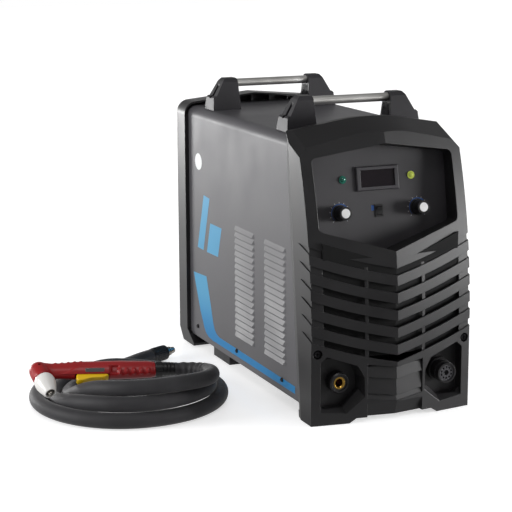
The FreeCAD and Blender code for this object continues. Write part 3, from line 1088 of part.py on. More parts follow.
def fan_rotor():
    """Fan rotor: hub, pitched blades and shaft."""
    y0 = PLATE_IN - FAN_DEEP
    hub_y0, hub_y1 = y0 + FAN_MOTOR + FAN_GAP, PLATE_IN - FAN_REAR_GAP
    hub = rod(FAN_HUB_R, V(0, hub_y0, FAN_Z), V(0, hub_y1, FAN_Z))
    shaft = rod(FAN_SHAFT_R, V(0, y0 + OVER, FAN_Z), V(0, hub_y0, FAN_Z))
    middle = (hub_y0 + hub_y1) / 2
    reach = FAN_BORE_R - FAN_TIP_GAP
    blades = []
    swept = rod(reach, V(0, hub_y0 + OVER, FAN_Z), V(0, hub_y1 - OVER, FAN_Z))
    for index in range(FAN_BLADES):
        blade = box(FAN_HUB_R - FAN_BLADE, reach + OVER, middle - FAN_BLADE / 2, middle + FAN_BLADE / 2,
                    FAN_Z - FAN_CHORD / 2, FAN_Z + FAN_CHORD / 2)
        blade.rotate(V(0, middle, FAN_Z), X_AXIS, FAN_PITCH)
        blade.rotate(V(0, 0, FAN_Z), Y_AXIS, 360.0 * index / FAN_BLADES)
        blades.append(blade.common(swept))
    return fuse([hub, shaft] + blades)


def fan_guard():
    """Finger guard on the outside of the rear plate: flat rings carried by four bars."""
    y0 = PLATE_OUT
    y1 = y0 + GUARD_WIRE_R * 2
    y2 = y1 + GUARD_WIRE_R
    middle = V(0, 0, FAN_Z)
    body = []
    for index in range(GUARD_RINGS):
        radius = GUARD_INNER_R + (GUARD_OUTER_R - GUARD_INNER_R) * index / (GUARD_RINGS - 1)
        start, end = middle + Y_AXIS * (y0 + GUARD_WIRE_R), middle + Y_AXIS * y2
        ring = rod(radius + GUARD_WIRE_R, start, end)
        body.append(ring.cut(rod(radius - GUARD_WIRE_R, start - Y_AXIS, end + Y_AXIS)))
    for turn in (45.0, 135.0):
        bar = box(-GUARD_REACH, GUARD_REACH, y0, y1, -GUARD_WIRE_R, GUARD_WIRE_R)
        bar.rotate(V(0, 0, 0), Y_AXIS, turn)
        bar.translate(middle)
        body.append(bar)
    return fuse(body)


def breaker_body():
    """Three-pole circuit breaker behind the plate, its nose through the opening."""
    wide, deep, tall = BREAKER_SIZE
    body = box(BREAKER_X - wide / 2, BREAKER_X + wide / 2, PLATE_IN - deep, PLATE_IN,
               BREAKER_Z - tall / 2, BREAKER_Z + tall / 2)
    nose_wide, nose_out, nose_tall = BREAKER_NOSE
    nose = box(BREAKER_X - nose_wide / 2 + FIT, BREAKER_X + nose_wide / 2 - FIT, PLATE_IN, REAR + nose_out,
               BREAKER_Z - nose_tall / 2 + FIT, BREAKER_Z + nose_tall / 2 - FIT)
    pivot = lever_pivot()
    half = X_AXIS * (LEVER_HALF + FIT)
    end = X_AXIS * (LEVER_HALF + LEVER_PIN + FIT * 2)
    drum = rod(LEVER_R + FIT, pivot - half, pivot + half)
    pin = rod(LEVER_PIN_R + SHAFT_FIT, pivot - end, pivot + end)
    return fuse([body, nose]).cut(drum).cut(pin)


def lever_pivot():
    """Centre of the breaker lever's pivot."""
    return V(BREAKER_X, REAR + BREAKER_NOSE[1] - LEVER_PIVOT_IN, BREAKER_Z)


def breaker_lever():
    """Ganged toggle of the breaker, drawn down in the off position."""
    pivot = lever_pivot()
    half = X_AXIS * LEVER_HALF
    end = X_AXIS * (LEVER_HALF + LEVER_PIN)
    drum = rod(LEVER_R, pivot - half, pivot + half)
    pin = rod(LEVER_PIN_R, pivot - end, pivot + end)
    arm = box(-LEVER_HALF, LEVER_HALF, LEVER_R / 2, LEVER_R + LEVER_REACH, -LEVER_ARM / 2, LEVER_ARM / 2)
    arm.rotate(V(0, 0, 0), X_AXIS, -LEVER_REST)
    arm.translate(pivot)
    return fuse([drum, arm, pin])


def gland():
    """Cable gland for the mains lead, with its nut inside the plate."""
    base = V(GLAND_X, PLATE_OUT, GLAND_Z)
    shoulder = base + Y_AXIS * GLAND_COLLAR
    collar = rod(GLAND_R, base, shoulder)
    dome = cone(GLAND_R - GLAND_SHOULDER, GLAND_BORE_R + GLAND_LIP, shoulder, base + Y_AXIS * GLAND_LONG)
    thread = rod(GLAND_THREAD_R, base - Y_AXIS * GLAND_TAIL, base)
    nut = rod(GLAND_R, base - Y_AXIS * (SHEET + GLAND_NUT), base - Y_AXIS * SHEET)
    bore = rod(GLAND_BORE_R, base - Y_AXIS * (GLAND_TAIL + OVER), base + Y_AXIS * (GLAND_LONG + OVER))
    return fuse([collar, dome, thread, nut]).cut(bore)


def air_inlet():
    """Push-in air fitting."""
    base = V(AIR_X, PLATE_OUT, AIR_Z)
    head = rod(AIR_R, base, base + Y_AXIS * AIR_HEAD)
    collet = rod(AIR_COLLET_R, base + Y_AXIS * AIR_HEAD, base + Y_AXIS * AIR_LONG)
    thread = rod(AIR_THREAD_R, base - Y_AXIS * (SHEET + AIR_TAIL), base)
    bore = rod(AIR_BORE_R, base - Y_AXIS * (SHEET + AIR_TAIL + OVER), base + Y_AXIS * (AIR_LONG + OVER))
    return fuse([head, collet, thread]).cut(bore)


def air_valve():
    """Solenoid valve on the thread of the air fitting."""
    wide, deep, tall = VALVE_SIZE
    start = PLATE_IN - VALVE_GAP
    body = box(AIR_X - wide / 2, AIR_X + wide / 2, start - deep, start, AIR_Z - tall / 2, AIR_Z + tall / 2)
    foot = V(AIR_X, start - VALVE_COIL_BACK, AIR_Z + tall / 2)
    coil = rod(VALVE_COIL_R, foot, foot + Z_AXIS * VALVE_COIL_TALL)
    socket = rod(AIR_THREAD_R + THREAD_FIT, V(AIR_X, start - VALVE_BITE - FIT, AIR_Z),
                 V(AIR_X, start + OVER, AIR_Z))
    return fuse([body, coil]).cut(socket)


def earth_stud():
    """Earth bolt with its nuts on the rear plate."""
    base = V(EARTH_X, PLATE_OUT, EARTH_Z)
    stud = rod(EARTH_R, base - Y_AXIS * EARTH_TAIL, base + Y_AXIS * EARTH_LONG)
    inner_nut = rod(EARTH_NUT_R, base - Y_AXIS * (SHEET + EARTH_INNER), base - Y_AXIS * SHEET)
    outer_nut = rod(EARTH_NUT_R, base, base + Y_AXIS * EARTH_OUTER)
    return fuse([stud, inner_nut, outer_nut])


# ================================================================ power train

PAN_TOP = PAN_Z + SHEET


def heatsinks():
    """Two finned heatsinks standing back to back on the pan."""
    y0, y1 = FRONT + SINK_BACK, FRONT + SINK_BACK + SINK_LONG
    face = SINK_X + SINK_BASE
    pieces = [box(SINK_X, face, y0, y1, PAN_TOP, PAN_TOP + SINK_TALL)]
    for index in range(SINK_FINS):
        z = PAN_TOP + (SINK_TALL - FIN_THICK) * index / (SINK_FINS - 1)
        pieces.append(box(face - OVER, face + FIN_LONG, y0, y1, z, z + FIN_THICK))
    return group(both_sides(fuse(pieces)))


def power_modules():
    """Switching modules clamped to the flat faces of the heatsinks."""
    wide, deep, tall = MODULE_SIZE
    modules = []
    z0 = PAN_TOP + MODULE_RISE
    for index in range(MODULE_COUNT):
        y0 = FRONT + SINK_BACK + MODULE_START + index * (deep + MODULE_GAP)
        modules += both_sides(box(SINK_X - wide, SINK_X, y0, y0 + deep, z0, z0 + tall))
    return group(modules)


def power_board():
    """Power board on top of the heatsinks, with the capacitors soldered to it."""
    y0 = FRONT + SINK_BACK
    z0 = PAN_TOP + SINK_TALL
    pieces = [box(-BOARD_WIDE / 2, BOARD_WIDE / 2, y0, y0 + SINK_LONG, z0, z0 + BOARD_THICK)]
    for index in range(CAP_ROWS):
        at = V(CAP_R + CAP_GAP, y0 + CAP_START + index * (CAP_R * 2 + CAP_GAP), z0 + BOARD_THICK)
        pieces += both_sides(rod(CAP_R, at, at + Z_AXIS * CAP_TALL))
    return fuse(pieces)


def transformer_core():
    """Ferrite core of the main transformer, standing on the pan."""
    wide, deep, tall = CORE_SIZE
    y0 = FRONT + CORE_BACK - deep / 2
    core = box(-wide / 2, wide / 2, y0, y0 + deep, PAN_TOP, PAN_TOP + tall)
    limb = CORE_LIMB
    window = box(-wide / 2 - OVER, wide / 2 + OVER, y0 + limb, y0 + deep - limb,
                 PAN_TOP + limb, PAN_TOP + tall - limb)
    return core.cut(window)


def transformer_winding():
    """Winding round the upper limb of the core."""
    wide, deep, tall = CORE_SIZE
    limb = CORE_LIMB
    y0, y1 = FRONT + CORE_BACK - deep / 2 + limb, FRONT + CORE_BACK + deep / 2 - limb
    build = WINDING_BUILD
    z0, z1 = PAN_TOP + tall - limb, PAN_TOP + tall
    coil = box(-wide / 2 - build, wide / 2 + build, y0, y1, z0 - build, z1 + build)
    return coil.cut(box(-wide / 2, wide / 2, y0 - OVER, y1 + OVER, z0, z1))


def control_board():
    """Control board behind the panel, on the backs of the two potentiometers."""
    y0 = PANEL_THICK + POT_DEEP
    return panel_place(centred(*CONTROL_BOARD_SIZE, y0, y0 + CONTROL_BOARD_THICK, CONTROL_BOARD_UP))


# ================================================================ torch

def torch_place(shape):
    """Put a piece drawn in torch coordinates where the torch lies.

    In torch coordinates the handle runs along +X from its tail to the head, and the
    nozzle points along -Z.
    """
    moved = shape.copy()
    roll = FreeCAD.Rotation(X_AXIS, TORCH_ROLL)
    climb = FreeCAD.Rotation(Y_AXIS, -TORCH_CLIMB)
    heading = FreeCAD.Rotation(Z_AXIS, TORCH_HEADING)
    turn = heading.multiply(climb).multiply(roll)
    tail = V(TORCH_X, TORCH_Y, TORCH_Z)
    moved.Placement = FreeCAD.Placement(tail, turn).multiply(moved.Placement)
    return moved


def trigger_pocket():
    """Slot in the underside of the handle that the trigger works in."""
    half = TRIGGER_WIDE / 2 + FIT
    return box(TRIGGER_TAIL - POCKET_TAIL, TRIGGER_TAIL + TRIGGER_LONG + POCKET_END, -half, half,
               -GRIP_HIGH * 2, TRIGGER_POCKET - GRIP_HIGH)


def torch_handle():
    """Moulded oval handle, tapering to the neck, with grip grooves behind the trigger."""
    wires = []
    for x, share in GRIP_SECTIONS:
        major, minor = GRIP_HIGH * share, GRIP_WIDE * share
        oval = Part.Ellipse(V(x, 0, major), V(x, minor, 0), V(x, 0, 0))
        wires.append(Part.Wire(oval.toShape()))
    body = Part.makeLoft(wires, True, False)
    grooves = []
    for index in range(GRIP_GROOVES):
        x = GRIP_GROOVE_START + index * GRIP_GROOVE_PITCH
        grooves.append(box(x, x + GRIP_GROOVE_LONG, GRIP_WIDE - GRIP_GROOVE_SINK, GRIP_WIDE + OVER,
                           -GRIP_GROOVE_HALF, GRIP_GROOVE_HALF))
    end = Y_AXIS * (TRIGGER_WIDE / 2 + TRIGGER_PIN + PIN_END + FIT)
    pivot = rod(TRIGGER_PIN_R + SHAFT_FIT, trigger_pivot() - end, trigger_pivot() + end)
    return torch_place(body.cut(grooves[0].multiFuse(grooves[1:] + [trigger_pocket(), pivot])))


def trigger_pivot():
    """Centre of the trigger pivot, in torch coordinates."""
    return V(TRIGGER_TAIL + TRIGGER_PIVOT, 0, TRIGGER_PIVOT_DEEP - GRIP_HIGH)


def torch_trigger():
    """Trigger with its moulded pivot pins, at rest."""
    half = TRIGGER_WIDE / 2
    x0 = TRIGGER_TAIL
    inner_z = TRIGGER_POCKET - GRIP_HIGH - TRIGGER_GAP
    outer_z = -GRIP_HIGH - TRIGGER_PROUD
    points = [(x0 + TRIGGER_BEVEL, inner_z), (x0, inner_z - TRIGGER_BEVEL), (x0, -GRIP_HIGH - TRIGGER_HEEL)]
    points += [(x0 + along, outer_z + up) for along, up in TRIGGER_RAMP]
    points.append((x0 + TRIGGER_LONG, inner_z))
    body = prism_xz(points, -half, half)
    end = Y_AXIS * (half + TRIGGER_PIN)
    pins = rod(TRIGGER_PIN_R, trigger_pivot() - end, trigger_pivot() + end)
    return torch_place(fuse([body, pins]))


def head_place(shape):
    """Put a piece of the nozzle, drawn down -Z from the elbow, where the head leans."""
    moved = shape.copy()
    moved.rotate(V(0, 0, 0), Y_AXIS, HEAD_LEAN)
    moved.translate(V(GRIP_LONG, 0, 0))
    return torch_place(moved)


def torch_head():
    """Elbow and head body that the consumables screw on to."""
    ball = Part.makeSphere(HEAD_R)
    end_r = HEAD_R - HEAD_STEP
    barrel = cone(HEAD_R, end_r, V(0, 0, 0), V(0, 0, -HEAD_DROP))
    x, share = GRIP_SECTIONS[-1]
    wires = []
    # an ellipse needs its long half to be the longer one, so the round end is a hair taller than wide
    for along, high, wide in ((x, GRIP_HIGH * share, GRIP_WIDE * share), (GRIP_LONG, end_r * 1.003, end_r)):
        oval = Part.Ellipse(V(along, 0, high), V(along, wide, 0), V(along, 0, 0))
        wires.append(Part.Wire(oval.toShape()))
    neck = torch_place(Part.makeLoft(wires, True, False))
    return fuse([head_place(ball), head_place(barrel), neck])


def torch_shield_cup():
    """Ceramic shield cup."""
    top = V(0, 0, -HEAD_DROP)
    shoulder = top - Z_AXIS * CUP_SHOULDER
    low = top - Z_AXIS * CUP_LONG
    body = fuse([cone(CUP_R - CUP_TAPER, CUP_R, top, shoulder), cone(CUP_R, CUP_TIP_R, shoulder, low)])
    bore = rod(CUP_TIP_R - CUP_WALL, top - Z_AXIS * CUP_LAND, low - Z_AXIS * OVER)
    return head_place(body.cut(bore))


def torch_tip():
    """Copper cutting tip inside the cup."""
    top = V(0, 0, -HEAD_DROP - CUP_LAND)
    low = V(0, 0, -HEAD_DROP - CUP_LONG)
    shoulder = low + Z_AXIS * CUP_LAND
    seat = rod(CUP_TIP_R - CUP_WALL - SHAFT_FIT, top, shoulder)
    nose = cone(TIP_R + TIP_TAPER, TIP_R - TIP_TAPER, shoulder, low - Z_AXIS * TIP_OUT)
    hole = rod(TIP_BORE_R, low + Z_AXIS * TIP_BORE, low - Z_AXIS * (TIP_OUT + OVER))
    return head_place(fuse([seat, nose]).cut(hole))


def torch_nut():
    """Strain relief nut that clamps the lead to the handle."""
    step = X_AXIS * -NUT_COLLAR
    collar = rod(NUT_R, V(0, 0, 0), step)
    tail = cone(NUT_R - NUT_STEP, NUT_R - NUT_TAPER, step, X_AXIS * -NUT_LONG)
    return torch_place(fuse([collar, tail]))


# ================================================================ lead

def lead_points():
    """Route of the free stretch of the lead, from the torch nut to the top of the coil."""
    on_axis = (V(-NUT_LONG, 0, 0), V(-NUT_LONG - LEAD_FIRST, 0, 0))
    return [torch_place(Part.Vertex(point)).Point for point in on_axis] + [V(*point) for point in LEAD_ROUTE]


def cord_tube(points, radius):
    """Round tube along straight runs joined by tangent arcs."""
    edges = []
    last = points[0]
    for before, corner, after in zip(points, points[1:], points[2:]):
        back = (before - corner)
        ahead = (after - corner)
        turn = math.pi - back.getAngle(ahead)
        reach = BEND_SHARE * min(back.Length, ahead.Length)
        bend_r = reach / math.tan(turn / 2)
        start = corner + back.normalize() * reach
        end = corner + ahead.normalize() * reach
        inward = (back + ahead).normalize()
        middle = corner + inward * (math.hypot(bend_r, reach) - bend_r)
        edges.append(Part.LineSegment(last, start).toShape())
        edges.append(Part.Arc(start, middle, end).toShape())
        last = end
    edges.append(Part.LineSegment(last, points[-1]).toShape())
    path = Part.Wire(edges)
    ring = Part.Wire(Part.Circle(points[0], points[1] - points[0], radius).toShape())
    return path.makePipeShell([ring], True, False)


def torch_lead_tube():
    """Free stretch of the lead, from the torch over the front of the coil and into it."""
    return cord_tube(lead_points(), LEAD_R)


def torch_lead_tail():
    """Free stretch from the back of the coil to the connector."""
    return cord_tube([V(*point) for point in TAIL_ROUTE], LEAD_R)


def torch_lead_coil():
    """Outer shape of the coiled lead: a ring, highest at the front where three turns lie."""
    x, y = COIL_X, COIL_Y
    top = COIL_FRONT_Z
    low, high = V(x, y, 0), V(x, y, top)
    ring = rod(COIL_OUTER, low, high).cut(rod(COIL_OUTER - COIL_WIDE, low, high))
    back = [(y - COIL_OUTER, COIL_FRONT_Z), (y + COIL_OUTER, COIL_BACK_Z), (y + COIL_OUTER, top + OVER),
            (y - COIL_OUTER, top + OVER)]
    left = [(x - COIL_OUTER, COIL_LEFT_Z), (x, COIL_LEFT_Z + COIL_OUTER * COIL_LEFT_RISE),
            (x, top + OVER), (x - COIL_OUTER, top + OVER)]
    right = [(x + COIL_OUTER, COIL_RIGHT_Z), (x + COIL_OUTER, top + OVER), (x, top + OVER),
             (x, COIL_RIGHT_Z + COIL_OUTER * COIL_RIGHT_RISE)]
    cuts = [prism_yz(back, x - COIL_OUTER, x + COIL_OUTER),
            prism_xz(left, y - COIL_OUTER, y + COIL_OUTER),
            prism_xz(right, y - COIL_OUTER, y + COIL_OUTER)]
    return ring.cut(cuts)


def lead_connector():
    """Central connector on the far end of the lead, lying behind the coil."""
    start, before = V(*TAIL_ROUTE[-1]), V(*TAIL_ROUTE[-2])
    way = start - before
    way.z = 0.0
    way.normalize()
    step = start + way * SHELL_LONG
    shell = rod(SHELL_R, start, step)
    nose = rod(NOSE_R, step, step + way * NOSE_LONG)
    return fuse([shell, nose])


def main():
    os.makedirs("parts", exist_ok=True)
    save("front_bezel", front_bezel())
    save("rear_bezel", rear_bezel())
    save("cover_shell", cover_shell())
    save("base_pan", base_pan())
    save("rear_plate", rear_plate())
    save("block_feet", block_feet())
    save("control_panel", control_panel())
    for name, side, back in (("front_left", -1, TUBE_BACKS[0]), ("front_right", 1, TUBE_BACKS[0]),
                             ("rear_left", -1, TUBE_BACKS[1]), ("rear_right", 1, TUBE_BACKS[1])):
        save(f"handle_bracket_{name}", handle_bracket(side, back))
    save("front_handle_tube", handle_tube(TUBE_BACKS[0]))
    save("rear_handle_tube", handle_tube(TUBE_BACKS[1]))
    save("handle_bolts", handle_bolts())
    save("cover_screws", cover_screws())
    save("bezel_screws", bezel_screws())
    save("display_bezel", display_bezel())
    save("display_window", display_window())
    save("display_module", display_module())
    save("power_lamp", lamp(-1))
    save("fault_lamp", lamp(1))
    for name, side in (("postflow", -1), ("current", 1)):
        save(f"{name}_knob", knob(side))
        save(f"{name}_knob_cap", knob_cap(side))
        save(f"{name}_pot_shaft", pot_shaft(side))
        save(f"{name}_pot_body", pot_body(side))
    save("mode_rocker_frame", rocker_frame())
    save("mode_rocker", rocker())
    save("torch_socket_body", torch_socket_body())
    save("torch_socket_brass", torch_socket_brass())
    save("control_connector_body", control_connector_body())
    save("control_connector_insert", control_connector_insert())
    save("fan_frame", fan_frame())
    save("fan_rotor", fan_rotor())
    save("fan_guard", fan_guard())
    save("breaker_body", breaker_body())
    save("breaker_lever", breaker_lever())
    save("mains_gland", gland())
    save("air_inlet", air_inlet())
    save("air_valve", air_valve())
    save("earth_stud", earth_stud())
    save("heatsinks", heatsinks())
    save("power_modules", power_modules())
    save("power_board", power_board())
    save("transformer_core", transformer_core())
    save("transformer_winding", transformer_winding())
    save("control_board", control_board())
    save("torch_handle", torch_handle())
    save("torch_head", torch_head())
    save("torch_shield_cup", torch_shield_cup())
    save("torch_tip", torch_tip())
    save("torch_trigger", torch_trigger())
    save("torch_nut", torch_nut())
    save("torch_lead_tube", torch_lead_tube())
    save("torch_lead_coil", torch_lead_coil())
    save("torch_lead_tail", torch_lead_tail())
    save("lead_connector", lead_connector())


main()
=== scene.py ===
# %% [markdown]
# # A plasma cutter with a hand torch
# This lesson dresses a finished CAD model of a three-phase plasma cutter. The cabinet,
# its handles and its panel come from the CAD as fixed parts. We give every part a real
# finish, and rebuild the parts whose looks need more than a plain solid: the torch, its
# coiled lead, the screws, the fan guard and the printed marks.

# %% Load the frame
from math import atan2, cos, pi, radians, sin

import bmesh
import bpy
from mathutils import Matrix, Vector


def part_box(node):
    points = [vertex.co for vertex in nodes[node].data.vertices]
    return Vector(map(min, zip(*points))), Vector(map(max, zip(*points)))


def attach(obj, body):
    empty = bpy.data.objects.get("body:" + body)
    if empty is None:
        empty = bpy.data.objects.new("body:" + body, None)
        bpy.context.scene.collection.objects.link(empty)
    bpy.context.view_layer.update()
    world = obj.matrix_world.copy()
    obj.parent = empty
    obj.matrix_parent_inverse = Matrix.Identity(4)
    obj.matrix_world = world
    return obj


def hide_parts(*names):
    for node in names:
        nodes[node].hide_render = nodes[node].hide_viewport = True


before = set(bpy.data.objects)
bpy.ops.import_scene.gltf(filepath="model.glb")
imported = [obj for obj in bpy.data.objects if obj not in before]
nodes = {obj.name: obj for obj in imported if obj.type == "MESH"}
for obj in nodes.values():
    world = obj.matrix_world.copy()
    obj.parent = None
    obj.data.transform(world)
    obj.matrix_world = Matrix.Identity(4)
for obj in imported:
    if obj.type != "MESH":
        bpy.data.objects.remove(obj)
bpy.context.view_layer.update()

MM = 0.001

# %% [markdown]
# ## The camera
# A product picture is taken from a few metres away with a long lens, so that upright
# edges stay nearly parallel. We turn the camera by its heading, tilt and roll.

# %% Camera
def linked(name, data):
    """A new object in the scene."""
    made = bpy.data.objects.new(name, data)
    bpy.context.scene.collection.objects.link(made)
    return made


def turn(degrees, axis):
    """A rotation about one axis."""
    return Matrix.Rotation(radians(degrees), 4, axis)


def mm(x, y, z):
    """A point from millimetres."""
    return Vector((x, y, z)) * MM


def shift(x, y, z):
    """A move by millimetres."""
    return Matrix.Translation(mm(x, y, z))


HEADING, TILT, ROLL = 23.108, 12.101, 0.245
CAMERA_AT, LENS_MM = (-1.2249, -2.5993, 0.8333), 111.68
camera_data = bpy.data.cameras.new("camera")
camera_data.sensor_width = 36
camera_data.lens = LENS_MM
camera_data.clip_end = 50
camera = linked("camera", camera_data)
camera.matrix_world = (Matrix.Translation(CAMERA_AT) @ turn(-HEADING, "Z")
                       @ turn(90 - TILT, "X") @ turn(-ROLL, "Z"))
bpy.context.scene.camera = camera
print("camera at", CAMERA_AT, "with a lens of", LENS_MM, "mm")

# %% [markdown]
# ## Colour and nodes
# Colours are written as hex values, and Blender wants them linear, so one function
# converts them. A second one adds a node with its settings and its links, and every
# material below is made with it. The others stand for the nodes that come back most.

# %% Colour and node helpers
def linear(hex_colour):
    """sRGB hex to linear RGBA."""
    parts = [int(hex_colour[i:i + 2], 16) / 255 for i in (1, 3, 5)]
    return [p / 12.92 if p <= 0.04045 else ((p + 0.055) / 1.055) ** 2.4 for p in parts] + [1.0]


def add(tree, kind, links=None, **settings):
    """Add one node. Links are input values, sockets, or nodes for their first output."""
    kinds = [family + "Node" + kind for family in ("Shader", "Geometry", "Function", "")]
    made = tree.nodes.new(next(full for full in kinds if hasattr(bpy.types, full)))
    for name, value in settings.items():
        setattr(made, name, value)
    for name, value in (links or {}).items():
        socket = made.inputs[name]
        if isinstance(value, bpy.types.Node):
            value = next(out for out in value.outputs if out.enabled)
        if isinstance(value, bpy.types.NodeSocket):
            tree.links.new(value, socket)
        elif isinstance(value, str) and value.startswith("#"):
            socket.default_value = linear(value)
        else:
            socket.default_value = value
    return made


def calc(tree, operation, *values):
    """A Math node on up to three values."""
    return add(tree, "Math", dict(enumerate(values)), operation=operation)


def graded(tree, value, low, high, start=0.0, end=1.0, kind="LINEAR"):
    """A value from low to high, mapped to start to end."""
    return add(tree, "MapRange", {"Value": value, "From Min": low, "From Max": high,
                                  "To Min": start, "To Max": end}, interpolation_type=kind)


def between(tree, share, shade, colour):
    """A mix of two colours, which are inputs 6 and 7 of a Mix node."""
    return add(tree, "Mix", {0: share, 6: shade, 7: colour}, data_type="RGBA")


def empty_nodes(owner):
    """Turn on nodes for a material or a world, and clear them."""
    owner.use_nodes = True
    owner.node_tree.nodes.clear()
    return owner.node_tree


def noise(tree, place, scale, detail=2.0):
    """A noise texture of a given scale."""
    return add(tree, "TexNoise", {"Vector": place, "Scale": scale, "Detail": detail})


def principled(tree, links):
    """End a material with a Principled shader."""
    add(tree, "OutputMaterial", {"Surface": add(tree, "BsdfPrincipled", links)})


print("mid grey #808080 is", round(linear("#808080")[0], 3), "in linear light")

# %% [markdown]
# ## One recipe for moulded, painted and cast surfaces
# Nearly every surface here is one colour with a broad cloudiness, a fine grain that also
# stands up as relief, and edges that are a little round and catch the light. Sizes are
# in millimetres. Grain finer than about a millimetre doesn't show from here, so it is
# drawn a little coarser.

# %% Surface recipe
CLOUD_MM = 70.0
GRAIN_SHARE = 0.45  # how much of the grain shows in the colour
ROUGH_SWING = 0.08  # share by which the clouds change the roughness


def surface(name, colour, shade, roughness, grain_mm=1.2, relief_mm=0.05, edge_mm=0.6,
            metallic=0.0, ior=1.5, stretch=(1, 1, 1), coat=0.0, specular=0.5):
    """A finish from its base colour, its darker shade and the size of its grain."""
    material = bpy.data.materials.new(name)
    tree = empty_nodes(material)
    place = add(tree, "TexCoord").outputs["Object"]
    cloud = noise(tree, place, 1 / (CLOUD_MM * MM), 3.0)
    along = add(tree, "Mapping", {"Vector": place, "Scale": stretch})
    grain = noise(tree, along, 1 / (grain_mm * MM))
    blend = calc(tree, "MULTIPLY_ADD", grain, GRAIN_SHARE, cloud)
    tint = between(tree, graded(tree, blend, 0.45, 1.0), shade, colour)
    rough = graded(tree, cloud, 0.3, 0.7, roughness * (1 - ROUGH_SWING),
                   min(roughness * (1 + ROUGH_SWING), 1.0))
    round_edge = add(tree, "Bevel", {"Radius": edge_mm * MM}, samples=4)
    relief = add(tree, "Bump", {"Height": grain, "Distance": relief_mm * MM, "Strength": 0.6,
                                "Normal": round_edge})
    principled(tree, {"Base Color": tint, "Roughness": rough, "Metallic": metallic,
                      "IOR": ior, "Normal": relief, "Coat Weight": coat,
                      "Coat Roughness": 0.15, "Specular IOR Level": specular})
    return material


print("clouds are", CLOUD_MM, "mm across")

# %% [markdown]
# ## The plastics
# The bezels are ABS, moulded in a spark-eroded tool, which leaves a fine matte grain. The
# handle brackets are glass-filled nylon, a little greyer. ABS has an index of refraction
# of about 1.54 and nylon about 1.53.

# %% Plastics
bezel_abs = surface("spark_eroded_abs", "#1d1c1e", "#151416", 0.42, 1.3, 0.07, 1.0, ior=1.54)
bracket_nylon = surface("glass_filled_nylon", "#2c2a2e", "#222124", 0.5, 1.1, 0.08, 1.0, ior=1.53,
                        specular=0.32)
smooth_black = surface("smooth_black_nylon", "#19181a", "#121113", 0.36, 0.9, 0.02, 0.4, ior=1.53)
knob_black = surface("knob_abs", "#151416", "#0d0d0e", 0.34, 0.8, 0.02, 0.3, ior=1.54)
frame_grey = surface("satin_abs_frame", "#3a383c", "#302e32", 0.4, 1.0, 0.03, 0.8, ior=1.54)
insert_grey = surface("contact_block_pbt", "#454448", "#333236", 0.42, 0.9, 0.02, 0.3, ior=1.55)
breaker_grey = surface("breaker_polyamide", "#c4c4be", "#b2b2ac", 0.42, 1.0, 0.03, 0.5, ior=1.53)
foot_rubber = surface("moulded_rubber", "#232224", "#1a191b", 0.75, 1.5, 0.1, 1.0, ior=1.52)
torch_red = surface("torch_red_nylon", "#ab1c20", "#931216", 0.36, 1.0, 0.03, 0.6, ior=1.53)
trigger_yellow = surface("trigger_yellow_abs", "#fbd412", "#eebd08", 0.38, 0.9, 0.03, 0.4, ior=1.54)
epoxy_black = surface("potted_epoxy", "#202022", "#161617", 0.4, 1.4, 0.04, 0.4, ior=1.55)
board_green = surface("solder_mask_laminate", "#1f5a36", "#174a2b", 0.3, 2.0, 0.03, 0.2, ior=1.55)
print("plastics ready")

# %% [markdown]
# ## Painted sheet steel
# The cover has a grey textured powder coat and the chassis a black one. It shows as a
# very fine orange peel with a soft gloss, so the roughness is medium and the relief is
# shallow but wide.

# %% Painted steel
cover_paint = surface("powder_coat_grey", "#515054", "#474649", 0.5, 1.6, 0.06, 0.8)
chassis_paint = surface("powder_coat_black", "#232325", "#1a1a1c", 0.45, 1.6, 0.05, 0.6)
screw_black = surface("black_oxide_steel", "#252427", "#19181a", 0.3, 0.7, 0.02, 0.3, metallic=0.6)
panel_film = surface("satin_polyester_film", "#2e2c30", "#252327", 0.5, 1.2, 0.02, 0.3, ior=1.57)
print("paint ready")

# %% [markdown]
# ## Bare metals
# Each metal keeps the default index of refraction. The handle tubes are stainless steel
# brushed along their length, so the grain is stretched along X. Brass and zinc are
# turned or plated, with a short even grain.

# %% Metals
tube_steel = surface("brushed_stainless", "#fbfaf7", "#dddbd6", 0.36, 0.9, 0.03, 0.3, 1.0,
                     stretch=(0.02, 1, 1))
zinc = surface("zinc_plated_steel", "#a4a4a6", "#88888a", 0.33, 0.8, 0.02, 0.3, 1.0)
brass = surface("machined_brass", "#d9b05a", "#b28a3a", 0.24, 0.7, 0.02, 0.3, 1.0)
nickel = surface("nickel_plate", "#c9c5be", "#a5a199", 0.2, 0.6, 0.01, 0.3, 1.0)
aluminium = surface("extruded_aluminium", "#c2c3c6", "#a8a9ac", 0.33, 1.0, 0.03, 0.3, 1.0,
                    stretch=(1, 0.03, 1))
turned_cap = surface("turned_aluminium", "#fbfbfa", "#e3e2e1", 0.3, 0.6, 0.015, 0.3, 0.35)
ferrite = surface("sintered_ferrite", "#3a3a3d", "#2c2c2f", 0.6, 1.0, 0.08, 0.5)
enamelled = surface("enamelled_copper", "#b0673a", "#8c4a26", 0.3, 1.2, 0.1, 0.3, 0.7,
                    stretch=(0.05, 0.05, 1))
print("metals ready")

# %% [markdown]
# ## Glazed ceramic, tinted window and lamp lenses
# The torch cup is white alumina with a thin glaze. The display window is smoke-tinted
# acrylic. The lamps are tinted polycarbonate, with a little emission as a painted glow for
# the light that scatters in them.

# %% Ceramic and tinted plastics
ceramic = surface("glazed_alumina", "#f6f5f2", "#edebe7", 0.32, 1.5, 0.02, 0.5, ior=1.6, coat=0.4)
smoke_window = surface("smoked_acrylic", "#1c161b", "#141014", 0.12, 3.0, 0.005, 0.3, ior=1.49)


